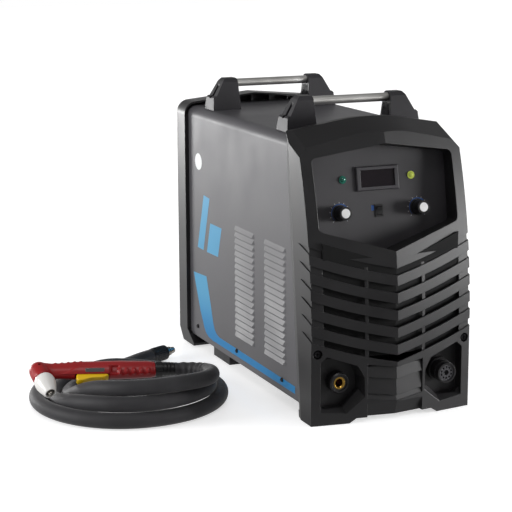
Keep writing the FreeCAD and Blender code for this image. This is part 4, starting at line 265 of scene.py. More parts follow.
def lens_finish(name, colour, glow):
    """Tinted lens: clear coat over a saturated body, with emission as a painted glow for scattered
    light.
    """
    material = surface(name, colour, colour, 0.15, 1.0, 0.005, 0.3, ior=1.58, coat=1.0)
    inputs = material.node_tree.nodes["Principled BSDF"].inputs
    # painted glow: a weak emission in the lens colour stands in for light scattered in the lens
    inputs["Emission Color"].default_value = linear(colour)
    inputs["Emission Strength"].default_value = glow
    return material


lens_green = lens_finish("green_polycarbonate", "#0b5a4a", 0.05)
lens_yellow = lens_finish("yellow_green_polycarbonate", "#aebb4c", 0.15)
print("ceramic and lenses ready")

# %% [markdown]
# ## Dress the CAD parts
# A CAD part whose shape is right only needs its material. Each CAD node comes in with a
# plain material in slot one, and we put ours there.

# %% Materials for the CAD nodes
finishes = {
    bezel_abs: "front_bezel rear_bezel", cover_paint: "cover_shell", foot_rubber: "block_feet",
    chassis_paint: "base_pan rear_plate", panel_film: "control_panel",
    tube_steel: "front_handle_tube rear_handle_tube",
    bracket_nylon: "handle_bracket_front_left handle_bracket_front_right "
                   "handle_bracket_rear_left handle_bracket_rear_right",
    zinc: "handle_bolts current_pot_shaft current_pot_body postflow_pot_shaft postflow_pot_body",
    turned_cap: "current_knob_cap postflow_knob_cap",
    knob_black: "current_knob postflow_knob mode_rocker breaker_lever",
    smooth_black: "mode_rocker_frame torch_socket_body control_connector_body fan_frame "
                  "fan_rotor mains_gland",
    insert_grey: "control_connector_insert", breaker_grey: "breaker_body",
    frame_grey: "display_bezel", smoke_window: "display_window",
    lens_green: "power_lamp", lens_yellow: "fault_lamp",
    brass: "torch_socket_brass air_valve earth_stud", nickel: "air_inlet",
    epoxy_black: "display_module power_modules", board_green: "power_board control_board",
    aluminium: "heatsinks", ferrite: "transformer_core", enamelled: "transformer_winding",
}
dressed = {name: material for material, names in finishes.items() for name in names.split()}
for name, material in dressed.items():
    nodes[name].data.materials.clear()
    nodes[name].data.materials.append(material)
print(len(dressed), "nodes dressed, left for new pieces:", sorted(set(nodes) - set(dressed)))

# %% [markdown]
# ## Helpers for new pieces
# A new piece is a mesh whose object stays at the origin, so that the pattern on it and
# its export stay put. It rides on a CAD body, and may stand for a CAD node.

# %% Piece helpers
def piece(name, mesh, material, slot, replaced=(), body="cabinet", smooth=True, sharp_deg=35):
    """Make an object of a finished mesh, put it on its body and hide the nodes it replaces."""
    made = linked(name, mesh)
    if material:
        mesh.materials.clear()
        mesh.materials.append(material)
    for polygon in mesh.polygons:
        polygon.use_smooth = smooth
    if smooth:
        mesh.set_sharp_from_angle(angle=radians(sharp_deg))
    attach(made, body)
    if replaced:
        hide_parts(*replaced)
    print(f"{name}: {len(mesh.polygons)} faces on {body}")
    return made


def mesh_of(bm, name, place=None):
    """Close a bmesh into a mesh with its faces outwards, moved to its place."""
    bmesh.ops.recalc_face_normals(bm, faces=bm.faces)
    if place:
        bmesh.ops.transform(bm, matrix=place, verts=bm.verts)
    mesh = bpy.data.meshes.new(name)
    bm.to_mesh(mesh)
    bm.free()
    return mesh


def skin(bm, rings):
    """Join rings of points with quads, and cap both ends."""
    rows = [[bm.verts.new(point) for point in ring] for ring in rings]
    for before, after in zip(rows, rows[1:]):
        for i in range(len(before)):
            j = (i + 1) % len(before)
            bm.faces.new((before[i], before[j], after[j], after[i]))
    bm.faces.new(rows[0][::-1])
    bm.faces.new(rows[-1])


def angles_round(count):
    """Even angles round a circle."""
    return [2 * pi * i / count for i in range(count)]


def turned(profile, sides=72):
    """Rings of a part turned about X, from (along, radius) points in millimetres."""
    return [[mm(x, r * cos(a), r * sin(a)) for a in angles_round(sides)]
            for x, r in profile]


def baked(carrier, name):
    """Remove an object and keep its evaluated mesh."""
    bpy.context.view_layer.update()
    seen = carrier.evaluated_get(bpy.context.evaluated_depsgraph_get())
    result = bpy.data.meshes.new_from_object(seen)
    bpy.data.objects.remove(carrier)
    result.name = name
    return result


def evaluated(mesh, name, modifiers):
    """Run modifiers on a mesh and return the plain result."""
    carrier = linked(name, mesh)
    for kind, settings in modifiers.items():
        modifier = carrier.modifiers.new(kind, kind)
        for key, value in settings.items():
            setattr(modifier, key, value)
    return baked(carrier, name)


print("piece helpers ready")

# %% [markdown]
# ## Geometry Nodes helpers
# Screws, ribs, ticks and wires repeat. A small Geometry Nodes tree makes the copies,
# turns them into real faces and sets the material. Its named inputs are set before the
# first evaluation. Where copies need a direction, it is stored on the given points.

# %% Geometry Nodes helpers
def new_tree(name, **inputs):
    """An empty tree and the sockets of its named inputs."""
    tree = bpy.data.node_groups.new(name, "GeometryNodeTree")
    for label, kind in {"Geometry": "Geometry", **inputs, "Material": "Material"}.items():
        tree.interface.new_socket(label, in_out="INPUT", socket_type="NodeSocket" + kind)
    tree.interface.new_socket("Geometry", in_out="OUTPUT", socket_type="NodeSocketGeometry")
    return tree, add(tree, "GroupInput").outputs


def vector(tree, **axes):
    """A vector of up to three linked axes."""
    return add(tree, "CombineXYZ", axes)


def close_tree(tree, given, geometry):
    """End a tree as the export needs it: real faces, then the material."""
    real = add(tree, "RealizeInstances", {0: geometry})
    painted = add(tree, "SetMaterial", {"Geometry": real, "Material": given["Material"]})
    add(tree, "GroupOutput", {0: painted})


def copies_on(tree, given, shape):
    """End a tree with a copy of a shape on each point, its Z along the point's way."""
    way = add(tree, "InputNamedAttribute", {"Name": "way"}, data_type="FLOAT_VECTOR")
    aim = add(tree, "AlignRotationToVector", {"Vector": way}, axis="Z")
    close_tree(tree, given, add(tree, "InstanceOnPoints", {
        "Points": given["Geometry"], "Instance": shape, "Rotation": aim}))


def marked_points(name, points, way_at):
    """A mesh of loose points, each with the direction that its copy takes."""
    mesh = bpy.data.meshes.new(name)
    mesh.from_pydata([p * MM for p in points], [], [])
    attribute = mesh.attributes.new("way", "FLOAT_VECTOR", "POINT")
    for spot, point in zip(attribute.data, points):
        spot.vector = way_at(point)
    return mesh


def tree_piece(name, tree, values, material, slot, replaced=(), start=None, place=None, **more):
    """Evaluate a tree with its named inputs set, and make a piece of the plain mesh."""
    carrier = linked(name, start or bpy.data.meshes.new(name))
    modifier = carrier.modifiers.new(name, "NODES")
    modifier.node_group = tree
    values = {**values, "Material": material}
    for item in tree.interface.items_tree:
        if item.in_out == "INPUT" and item.name in values:
            modifier[item.identifier] = values[item.name]
    mesh = baked(carrier, name)
    if place:
        mesh.transform(place)
    return piece(name, mesh, None, slot, replaced, **more)


print("Geometry Nodes helpers ready")

# %% [markdown]
# ## The torch lead
# The lead is one sleeved cable, from the torch nut, round in a tight bend, two and a half
# times round the coil, and out behind it to its connector. It lies loose: the first turn
# drops from the top of the stack to the inside of the ring, the next rides half on its
# neighbours, and the last lies outside them. One NURBS spline holds the route. Each
# station gives the radius from the middle of the coil and the height.

# %% Route of the lead
LEAD_R = 13.5 * MM
COIL_X, COIL_Y = -378, -44
TURN_STATIONS = 16
STATION_DEG = 360 / TURN_STATIONS
LOW = 13.6  # the lead's middle where it lies on the floor
bend = [(-309, -90.6, 60.7), (-287.6, -95.6, 61.2), (-263.9, -127, 64), (-266, -166.2, 67),
        (-292.8, -193, 67.5)]
stations = [
    # first turn
    (152, 67), (145.5, 66), (129, 59), (113, 39), (106.5, 20), (105.5, LOW), (105.5, LOW),
    (106, LOW), (106, LOW), (106, LOW), (110, LOW), (119, 14.2), (128, 18), (139, 31.5),
    (149, 39), (154, 40.7),
    # second turn
    (158, 40.8), (155, 40.4), (147, 37.5), (138.5, 29), (134, 16), (133.3, LOW), (133, 13.8),
    (131.5, 22), (128.3, 29.6), (135, 22.5), (146, 16), (156, LOW), (160.5, LOW), (161, LOW),
    (161, LOW), (161, LOW),
    # half a turn more
    (161, LOW), (161, LOW), (161, LOW), (161.3, LOW), (161.5, LOW), (161.5, LOW),
    (160.5, LOW), (156.5, LOW)]
tail = [(-400, 104, 14), (-362, 110, 14), (-324, 124, 14), (-294, 146, 14), (-266, 160, 14)]
# a spline of this order passes inside its control points by this share of the radius
cuts_inside = 0.75 + 0.25 * cos(radians(STATION_DEG))
coil = []
for index, (radius, height) in enumerate(stations):
    angle = radians(-90 - STATION_DEG * index)
    reach = radius / cuts_inside
    coil.append((COIL_X + reach * cos(angle), COIL_Y + reach * sin(angle), height))
route = [Vector(point) * MM for point in bend + coil + tail]
print(len(route), "route points,", len(stations) / TURN_STATIONS, "turns in the coil")

# %% Spline of the lead
curve = bpy.data.curves.new("lead_route", "CURVE")
curve.dimensions = "3D"
spline = curve.splines.new("NURBS")
spline.points.add(len(route) - 1)
for control, point in zip(spline.points, route):
    control.co = (*point, 1.0)
spline.order_u = 3
spline.use_endpoint_u = True
spline.resolution_u = 8
line_mesh = baked(linked("lead_route", curve), "lead_route")
lead_line = [v.co.copy() for v in line_mesh.vertices]

# %% [markdown]
# ## The sleeve round the lead
# Near the torch the woven sleeve is gathered on to a thinner hose, so it wrinkles;
# further on it is full and smooth. We sweep a ring along the spline's own line and let
# the radius follow the wrinkles. The tube gets a UV map in real metres for its weave.

# %% Sweep a tube
SIDES = 28


def sweep(line, radius_at):
    """Rings of points along a line, without twist, with a radius for each distance."""
    rings = []
    side = Vector((0, 0, 1)).cross(line[1] - line[0]).normalized()
    along = 0.0
    for index, point in enumerate(line):
        ahead = (line[min(index + 1, len(line) - 1)] - line[max(index - 1, 0)]).normalized()
        side = (side - ahead * side.dot(ahead)).normalized()
        up = ahead.cross(side)
        if index:
            along += (point - line[index - 1]).length
        rings.append([point + (side * cos(a) + up * sin(a)) * radius_at(along, a)
                      for a in angles_round(SIDES)])
    return rings


def smoothly(low, high, value):
    """0 below low, 1 above high, and a smooth step between."""
    share = min(max((value - low) / (high - low), 0.0), 1.0)
    return share * share * (3 - 2 * share)


GATHERED = 85 * MM  # the sleeve is gathered for this far from the nut
THIN_R = 11.2 * MM
WRINKLE, SLACK = 0.55, 0.2  # how deep the folds are, gathered and loose
FINE_STEP, LONG_STEP, FINE_RINGS = 1.2, 6, 200


def sleeve_radius(along, angle):
    """Sleeve radius with wrinkles near the torch and a gentle unevenness after."""
    grow = smoothly(0.4 * GATHERED, GATHERED, along)
    fold = sin(along / (2.1 * MM) + 1.3 * sin(angle + along / (13 * MM)))
    slack = 0.5 * sin(along / (31 * MM) + angle) + 0.5 * sin(along / (47 * MM) - 2 * angle)
    return (THIN_R + (LEAD_R - THIN_R) * grow + fold * WRINKLE * MM * (1 - grow)
            + slack * SLACK * MM * grow)


dense = []
for a, b in zip(lead_line, lead_line[1:]):
    near_torch = (a - route[0]).length < 2.0 * GATHERED and len(dense) < FINE_RINGS
    steps = max(1, round((b - a).length / ((FINE_STEP if near_torch else LONG_STEP) * MM)))
    dense += [a.lerp(b, i / steps) for i in range(steps)]
dense.append(lead_line[-1])
bm = bmesh.new()
skin(bm, sweep(dense, sleeve_radius))
bm.loops.layers.uv.new("weave")
lead_mesh = mesh_of(bm, "torch_lead")
print("sleeve has", len(dense), "rings")

# %% UV map of the sleeve in metres
weave = lead_mesh.uv_layers["weave"].data
distance = [0.0]
for a, b in zip(dense, dense[1:]):
    distance.append(distance[-1] + (b - a).length)
for polygon in lead_mesh.polygons:
    if len(polygon.vertices) != 4:
        continue
    columns = [v % SIDES for v in polygon.vertices]
    wraps = 0 in columns and SIDES - 1 in columns
    for corner, vertex, column in zip(polygon.loop_indices, polygon.vertices, columns):
        round_share = (column + (SIDES if wraps and column == 0 else 0)) / SIDES
        weave[corner].uv = (round_share * 2 * pi * LEAD_R, distance[vertex // SIDES])
print("woven over", round(distance[-1], 2), "m")

# %% [markdown]
# ## Woven sleeve finish
# The sleeve is a tight nylon weave with a matte rubbery proofing. Two waves at right
# angles, on the UV map, give the relief of its threads. The real ones are about half a
# millimetre apart, too fine to see from here, so they are drawn at 1.6 mm. Sheen
# lightens the edges, as fibres do.

# %% Woven sleeve material
THREAD_MM = 1.6
WAVE_LENGTH = 0.314  # of a wave texture whose scale is 1


def woven(name, colour, shade):
    """A proofed weave on the UV map, with clouds in its colour and small creases."""
    material = bpy.data.materials.new(name)
    tree = empty_nodes(material)
    place = add(tree, "UVMap", uv_map="weave")
    wave = {"Vector": place, "Scale": WAVE_LENGTH / (THREAD_MM * MM), "Distortion": 0.4}
    across, along = [add(tree, "TexWave", wave, bands_direction=way).outputs["Fac"] for way in "XY"]
    threads = calc(tree, "MULTIPLY", across, along)
    body = add(tree, "TexCoord").outputs["Object"]
    cloud = noise(tree, body, 30.0, 4.0)
    tint = between(tree, calc(tree, "MULTIPLY_ADD", threads, 0.35, cloud), shade, colour)
    height = calc(tree, "MULTIPLY_ADD", noise(tree, body, 90.0), 2.0, threads)
    relief = add(tree, "Bump", {"Height": height, "Distance": 0.25 * MM, "Strength": 0.5})
    principled(tree, {"Base Color": tint, "Roughness": 0.62, "IOR": 1.5, "Sheen Weight": 0.25,
                      "Sheen Roughness": 0.4, "Normal": relief})
    return material


torch_lead = piece("torch_lead", lead_mesh, woven("woven_nylon_sleeve", "#343336", "#232225"),
                   "lead_rubber", ("torch_lead_tube", "torch_lead_coil", "torch_lead_tail"))

# %% [markdown]
# ## Where the torch lies
# Torch parts are drawn along +X from the tail of the handle to the head, and are then
# moved to where the torch lies on its lead. The nozzle leans back towards the hand; its
# parts are drawn about X and then turned to point down.

# %% Torch placement
GRIP_LONG, NOZZLE_LEAN = 200, 17
torch_place = shift(-343, -82.6, 62) @ turn(166.8, "Z") @ turn(-2, "Y") @ turn(65, "X")
head_place = torch_place @ shift(GRIP_LONG, 0, 0)
nozzle_place = head_place @ turn(NOZZLE_LEAN, "Y") @ turn(90, "Y")
print("elbow at", [round(v, 4) for v in nozzle_place.translation])

# %% [markdown]
# ## Torch handle
# The handle's surface is a grid of oval rings, and each feature is a small rise or dip
# along it and round it: five finger bumps near the tail, a notch behind the trigger, a
# pointed side panel, and small bumps on the neck. Round the handle, 0 degrees faces the
# side that lies uppermost and 90 degrees faces the trigger.

# %% Handle surface
GRIP_HIGH, GRIP_WIDE = 18.5, 14.0
GRIP_SECTIONS = ((0, 0.84), (14, 0.92), (60, 1.0), (130, 0.98), (170, 0.84), (190, 0.8))
GRIP_STEP, GRIP_RINGS, GRIP_SIDES = 1.5, 125, 96
# rows of five bumps: start, step, degrees round, half length, half width, height
BUMP_ROWS = ((13, 12.5, 52, 4.2, 24, 1.9), (128, 11, -34, 3.0, 13, 1.4))


def grip_share(x):
    """Share of the full section at a distance along the handle."""
    for (x0, s0), (x1, s1) in zip(GRIP_SECTIONS, GRIP_SECTIONS[1:]):
        if x <= x1:
            # the tail tapers straight, the rest in smooth steps
            return s0 + (s1 - s0) * (smoothly(x0, x1, x) if x1 > 60 else (x - x0) / (x1 - x0))
    return GRIP_SECTIONS[-1][1]


def window(value, low, high, soft):
    """1 between low and high, with soft edges."""
    return smoothly(low - soft, low + soft, value) * (1 - smoothly(high - soft, high + soft, value))


def grip_rise(x, deg):
    """How far the surface stands above the plain oval, in millimetres."""
    rise = 0.0
    for start, step, middle, half_long, half_wide, high in BUMP_ROWS:
        for index in range(5):
            off = (x - (start + step * index)) / half_long
            bump = off ** 2 + ((deg - middle) / half_wide) ** 2
            rise += high * max(0.0, 1 - bump) ** 0.6
    upper_edge = 8 + 58 * smoothly(124, 168, x)
    rise += 1.1 * window(x, 80, 164, 1.2) * window(deg, upper_edge, 66, 2.5)
    rise -= 3.4 * window(x, 64, 77, 1.5) * window(deg, 12, 60, 4.0)
    rise -= 1.0 * window(x, 3.0, 4.2, 0.8)
    return rise


rings = []
for index in range(GRIP_RINGS):
    x = index * GRIP_STEP
    share = grip_share(x) * (1 - 0.10 * max(0.0, 1 - x / 3.0) ** 2)
    ring = []
    for i in range(GRIP_SIDES):
        deg = 360 * i / GRIP_SIDES
        out = grip_rise(x, deg if deg < 180 else deg - 360)
        a = radians(deg)
        ring.append(mm(x, (GRIP_WIDE * share + out) * cos(a), -(GRIP_HIGH * share + out) * sin(a)))
    rings.append(ring)
bm = bmesh.new()
skin(bm, rings)
grip_mesh = mesh_of(bm, "torch_grip")
print("handle skin:", len(grip_mesh.polygons), "faces")

# %% Trigger pocket
def block(low, high):
    """A box between two corners in millimetres."""
    bm = bmesh.new()
    bmesh.ops.create_cube(bm, size=1.0)
    size = Vector(high) - Vector(low)
    middle = (Vector(high) + Vector(low)) / 2
    for vert in bm.verts:
        vert.co = (Vector(c * s for c, s in zip(vert.co, size)) + middle) * MM
    return bm


def cut_block(mesh, name, low, high):
    """Take a box out of a mesh with a Boolean modifier."""
    tool = linked("block", mesh_of(block(low, high), "block"))
    result = evaluated(mesh, name, {"BOOLEAN": {"object": tool, "operation": "DIFFERENCE",
                                                "solver": "EXACT"}})
    bpy.data.objects.remove(tool)
    return result


grip_mesh = cut_block(grip_mesh, "torch_grip", (80.5, -7, -40), (139.5, 7, -9.3))
grip_mesh.transform(torch_place)
piece("torch_grip", grip_mesh, torch_red, "torch_red", ("torch_handle",))

# %% Rating plate without text
PLATE_TURN = -47
bm = block((89, 16.2, -3.5), (122, 17.6, 3.5))
bmesh.ops.bevel(bm, geom=bm.edges[:], offset=0.5 * MM, segments=2, affect="EDGES")
piece("torch_plate", mesh_of(bm, "torch_plate", torch_place @ turn(PLATE_TURN, "X")), zinc,
      "torch_red")

# %% [markdown]
# ## Torch elbow
# The elbow flows out of the handle and turns into the collar that holds the cup. Joining
# a ball, a tapered neck and a barrel, then remeshing and smoothing them, gives the soft
# inner corner that a moulding has.

# %% Elbow
ELBOW_SIDES = 48
NECK = ((-34, 15.2, 11.6), (-22, 15.0, 11.8), (-12, 15.6, 13.6), (0, 16.6, 16.0))
bm = bmesh.new()
skin(bm, turned([(0, 17), (16, 17), (21.5, 16.4)], ELBOW_SIDES))
bmesh.ops.transform(bm, matrix=turn(NOZZLE_LEAN, "Y") @ turn(90, "Y"), verts=bm.verts)
bmesh.ops.create_uvsphere(bm, u_segments=ELBOW_SIDES, v_segments=24, radius=16.9 * MM)
skin(bm, [[mm(x, wide * cos(a), high * sin(a)) for a in angles_round(ELBOW_SIDES)]
          for x, high, wide in NECK])
elbow_mesh = evaluated(mesh_of(bm, "torch_elbow"), "torch_elbow",
                       {"REMESH": {"mode": "VOXEL", "voxel_size": 1.1 * MM},
                        "SMOOTH": {"factor": 0.5, "iterations": 9}})
elbow_mesh = cut_block(elbow_mesh, "torch_elbow", (-2, 12, -2), (2, 19, 2))
elbow_mesh.transform(head_place)
piece("torch_elbow", elbow_mesh, torch_red, "torch_red", ("torch_head",), sharp_deg=60)

# %% [markdown]
# ## Cup and cutting tip
# The cup is a pressed and glazed ceramic, so its shape is a turned profile with soft
# changes and a wall at the mouth. Inside it the plated nozzle shows, with its bore.

# %% Cup and tip
def turned_piece(name, profile, material, slot, place, replaced=()):
    """A piece made of one turned profile."""
    bm = bmesh.new()
    skin(bm, turned(profile))
    piece(name, mesh_of(bm, name, place), material, slot, replaced)


cup_profile = [(21.8, 14.6), (22.3, 15.8), (23.5, 16.8), (26.5, 17.6), (31, 17.95), (36, 17.6),
               (41, 16.5), (46, 15.0), (51, 13.3), (55.5, 11.6), (58.5, 10.5), (59.7, 9.9),
               (60.0, 9.3), (59.7, 8.7), (58.6, 8.3), (54, 8.2), (48, 8.2)]
turned_piece("torch_cup", cup_profile, ceramic, "ceramic_white", nozzle_place,
             ("torch_shield_cup",))
tip_profile = [(49, 7.7), (57.0, 7.7), (57.8, 7.3), (58.0, 6.0), (57.2, 5.4), (57.0, 4.6),
               (60.5, 4.3), (62.6, 3.5), (63.6, 2.4), (64.0, 1.6), (63.7, 0.9), (61, 0.7),
               (60, 0.6)]
turned_piece("torch_nozzle", tip_profile, nickel, "tip_copper", nozzle_place, ("torch_tip",))

# %% [markdown]
# ## Trigger
# The trigger is a yellow moulding, hinged at its tail. Its outline is drawn from the
# side and given its width, and a Bevel modifier rounds the edges. Fine cross ribs run
# over the tail half.

# %% Trigger body
TRIGGER_SLICES = ((-6.4, 0.94), (-4.5, 1.0), (4.5, 1.0), (6.4, 0.94))  # across, share of outline
MID_X, MID_Z = 109, -20.5
PIN_R, PIN_LONG, PIN_OUT = 2, 2.4, 7.4
HINGE_X, HINGE_Z = 87, -14.1
trigger_outline = [(84, -15.2), (82.2, -17.5), (82, -19.8), (88, -23.4), (97, -25.0),
                   (112, -25.6), (118, -27.2), (123, -30.0), (130, -31.4), (135.5, -30.2),
                   (138, -26.6), (137, -15.2)]
bm = bmesh.new()
skin(bm, [[mm(MID_X + (x - MID_X) * share, y, MID_Z + (z - MID_Z) * share)
           for x, z in trigger_outline] for y, share in TRIGGER_SLICES])
for end in (-1, 1):
    pin = bmesh.ops.create_cone(bm, cap_ends=True, segments=24, radius1=PIN_R * MM,
                                radius2=PIN_R * MM, depth=PIN_LONG * MM)["verts"]
    pin_place = shift(HINGE_X, end * PIN_OUT, HINGE_Z) @ turn(90, "X")
    bmesh.ops.transform(bm, matrix=pin_place, verts=pin)
trigger_mesh = evaluated(mesh_of(bm, "torch_trigger_lever"), "torch_trigger_lever",
                         {"BEVEL": {"width": 0.7 * MM, "segments": 3, "limit_method": "ANGLE"}})
trigger_mesh.transform(torch_place)
piece("torch_trigger_lever", trigger_mesh, trigger_yellow, "trigger_yellow", ("torch_trigger",),
      "torch_trigger_set")

# %% [markdown]
# ## Ribs round a body
# The strain relief nut, the connector shell, the trigger and the handle brackets all
# carry rows of small ribs. One tree makes them all: it puts a bar on every point, along
# the direction stored there.

# %% Rib tree
rib_tree, given = new_tree("ribs", Long="Float", Radius="Float")
bar = add(rib_tree, "MeshCylinder", {"Vertices": 10, "Radius": given["Radius"],
                                     "Depth": given["Long"]})
copies_on(rib_tree, given, bar)


def ribs(name, points, way, long, radius, material, slot, **more):
    """Bars on points, all along one direction, with sizes in millimetres."""
    tree_piece(name, rib_tree, {"Long": long * MM, "Radius": radius * MM}, material, slot,
               start=marked_points(name, points, lambda point: way), **more)


def ring_of_points(x, radius, count):
    """Points round the X axis."""
    return [Vector((x, radius * cos(a), radius * sin(a))) for a in angles_round(count)]


print("rib tree has", len(rib_tree.nodes), "nodes")

# %% Strain relief nut
nut_place = torch_place @ turn(180, "Z")
nut_profile = [(-0.6, 11.5), (0, 12.8), (1.5, 13.0), (12.5, 13.0), (13.4, 12.2), (14.6, 12.2),
               (15.4, 12.7), (20, 12.6), (21, 11.9), (22, 12.4), (26, 12.2), (27, 11.5),
               (28, 12.0), (32.5, 11.6), (34.4, 11.0), (35, 10.2)]
turned_piece("lead_nut_body", nut_profile, smooth_black, "torch_black", nut_place, ("torch_nut",))
ribs("lead_nut_ribs", ring_of_points(7, 12.7, 30), (1, 0, 0), 10.5, 0.65, smooth_black,
     "torch_black", place=nut_place)

# %% Trigger ribs
RIB_STEP, TRIGGER_SLOPE = 2.6, 0.035
rib_spots = [Vector((90 + RIB_STEP * i, 0, -24.2 - TRIGGER_SLOPE * RIB_STEP * i))
             for i in range(9)]
ribs("trigger_ribs", rib_spots, (0, 1, 0), 10.0, 0.75, trigger_yellow, "trigger_yellow",
     place=torch_place, body="torch_trigger_set")

# %% [markdown]
# ## Lead connector
# The far end of the lead carries a central connector: a ribbed black shell that is
# gripped to screw it in, and a pale air nipple. It lies flat behind the coil.

# %% Connector
plug_way = route[-1] - route[-2]
plug_place = (Matrix.Translation(route[-1])
              @ Matrix.Rotation(atan2(plug_way.y, plug_way.x), 4, "Z"))
plug_profile = [(-2, 12), (-0.5, 13.4), (3, 14.0), (6, 13.8), (32, 13.8), (34, 14.4), (37, 14.4),
                (38, 13.2), (38.2, 9.0)]
turned_piece("plug_shell", plug_profile, smooth_black, "torch_black", plug_place,
             ("lead_connector",))
ribs("plug_ribs", ring_of_points(19, 13.7, 26), (1, 0, 0), 25, 0.9, smooth_black,
     "torch_black", place=plug_place)
nipple_profile = [(37.5, 8.8), (44, 8.8), (44.6, 7.6), (47, 7.6), (47.6, 8.6), (51, 8.6), (52, 7.0),
                  (57, 6.6), (61.5, 6.0), (62, 5.2), (61.8, 3.2), (56, 3.0)]
turned_piece("plug_nipple", nipple_profile, nickel, "brass", plug_place)

# %% Ribs inside the handle brackets
BRACKET_RIB_STEP, RIB_MIDDLE = 3.4, 17
rib_spots = []
for corner in ("front_left", "front_right", "rear_left", "rear_right"):
    low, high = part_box(f"handle_bracket_{corner}")
    x = (high.x if corner.endswith("left") else low.x) / MM
    for i in range(-3, 4):
        rib_spots.append(Vector((x, (low.y + high.y) / 2 / MM + BRACKET_RIB_STEP * i,
                                 low.z / MM + RIB_MIDDLE)))
ribs("bracket_ribs", rib_spots, (0, 0, 1), 22, 1.1, bracket_nylon, "bracket_plastic")

# %% [markdown]
# ## Screws
# A screw head is a shallow cone with a cross recess. The tree makes one head, cuts two
# crossed slots with a Mesh Boolean, and puts it on each point. The cover screws, the
# rear frame screws and the larger heads in the front bezel share it.

# %% Screw tree
TOP_SHARE, SLOT_LONG, SLOT_WIDE = 0.72, 1.15, 0.24  # shares of the head's radius
tree, given = new_tree("screws", Radius="Float", Height="Float", Slot="Float")
top_r = calc(tree, "MULTIPLY", given["Radius"], TOP_SHARE)
head = add(tree, "MeshCone", {"Vertices": 32, "Side Segments": 2, "Radius Top": top_r,
                              "Radius Bottom": given["Radius"], "Depth": given["Height"]})
slot_long = calc(tree, "MULTIPLY", given["Radius"], SLOT_LONG)
cross = add(tree, "MeshBoolean", operation="UNION")
for long_axis, wide_axis in ("XY", "YX"):
    size = vector(tree, **{long_axis: slot_long, wide_axis: given["Slot"], "Z": given["Height"]})
    slot = add(tree, "MeshCube", {"Size": size})
    tree.links.new(slot.outputs["Mesh"], cross.inputs["Mesh 2"])
raise_by = vector(tree, Z=given["Height"])
lifted = add(tree, "Transform", {"Geometry": cross, "Translation": raise_by})
copies_on(tree, given, add(tree, "MeshBoolean", {"Mesh 1": head, "Mesh 2": lifted},
                           operation="DIFFERENCE"))
screw_tree = tree


def screws(name, spots, way_at, head_r, head_high, replaced):
    """Screw heads seated on spots in millimetres."""
    sizes = {"Radius": head_r * MM, "Height": head_high * MM, "Slot": head_r * SLOT_WIDE * MM}
    tree_piece(name, screw_tree, sizes, screw_black, "black_fastener", (replaced,),
               marked_points(name, spots, way_at))


print("screw tree has", len(screw_tree.nodes), "nodes")

# %% Place the screws
COVER_SIDE, FRONT, REAR = 142, -311, 311
sides = (-1, 1)
screws("cover_screw_heads", [Vector((side * COVER_SIDE, FRONT + back, 44)) for side in sides
                             for back in (136.3, 341.5, 541)],
       lambda spot: (spot.x, 0, 0), 4.6, 2.3, "cover_screws")
screws("frame_screw_heads", [Vector((side * 140.5, REAR, z)) for side in sides
                             for z in (74, 237, 434)],
       lambda spot: (0, 1, 0), 4.4, 2.3, "bezel_screws")
screws("front_screw_heads", [Vector((side * 138.8, FRONT + 3.6, 123.3)) for side in sides],
       lambda spot: (0, -1, 0), 7.2, 3.2, "bezel_screws")

# %% [markdown]
# ## Fan guard
# The finger guard is bent wire: six rings welded on four spokes. The tree repeats a
# circle at growing sizes, adds the spokes, and gives all of them a round wire section.

# %% Guard tree
GUARD_R, WIRE_R, FAN_Z = 80, 1.4, 150
SPOKE_REACH, SPOKE_BEHIND = 1.13, 1.8  # shares of the guard's and the wire's radius
tree, given = new_tree("wire_guard", Rings="Int", Outer="Float", Wire="Float")
steps = add(tree, "MeshLine", {"Count": given["Rings"], "Offset": (0, 0, 0)}, mode="OFFSET")
number = add(tree, "InputIndex")
share = calc(tree, "DIVIDE", calc(tree, "ADD", number, 1.1),
             calc(tree, "ADD", given["Rings"], 0.1))
hoop = add(tree, "CurvePrimitiveCircle", {"Resolution": 72, "Radius": given["Outer"]})
hoops = add(tree, "InstanceOnPoints", {"Points": steps, "Instance": hoop, "Scale": share})
behind = vector(tree, Z=calc(tree, "MULTIPLY", given["Wire"], -SPOKE_BEHIND))
reach = calc(tree, "MULTIPLY", given["Outer"], SPOKE_REACH)
start = vector(tree, X=calc(tree, "MULTIPLY", reach, -1.0))
wire = add(tree, "CurvePrimitiveLine", {"Start": start, "End": vector(tree, X=reach)})
frame_wires = [add(tree, "Transform", {"Geometry": wire, "Translation": behind,
                                       "Rotation": (0, 0, radians(deg))}) for deg in (45, 135)]
frame_wires.append(add(tree, "RealizeInstances", {0: hoops}))
together = add(tree, "JoinGeometry")
for part in frame_wires:
    tree.links.new(part.outputs[0], together.inputs[0])
section = add(tree, "CurvePrimitiveCircle", {"Resolution": 8, "Radius": given["Wire"]})
wires = add(tree, "CurveToMesh", {"Curve": together, "Profile Curve": section, "Fill Caps": True})
close_tree(tree, given, wires)
guard_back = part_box("fan_guard")[1].y
tree_piece("fan_wire_guard", tree, {"Rings": 6, "Outer": GUARD_R * MM, "Wire": WIRE_R * MM},
           nickel, "guard_wire", ("fan_guard",),
           place=shift(0, guard_back / MM - WIRE_R, FAN_Z) @ turn(-90, "X"))

# %% [markdown]
# ## Dials on the panel
# Round each knob the panel film is printed with fine ticks, and with a blue arc that
# widens with the setting. A tree places the ticks, as thin bars, along an arc. Printing
# has no thickness, so the marks stand only a twentieth of a millimetre off the film.

# %% Panel placement
PANEL_LEAN, PANEL_DEEP, PANEL_MIDDLE = 10, 53, 346.3
INK, INK_PROUD = 0.04, 0.05
panel_place = shift(0, FRONT + PANEL_DEEP, PANEL_MIDDLE) @ turn(-PANEL_LEAN, "X")


def flat_finish(name, colour, roughness):
    """Ink or paper: an even layer with a faint mottle."""
    return surface(name, colour, colour, roughness, 2.0, 0.005, 0.0)


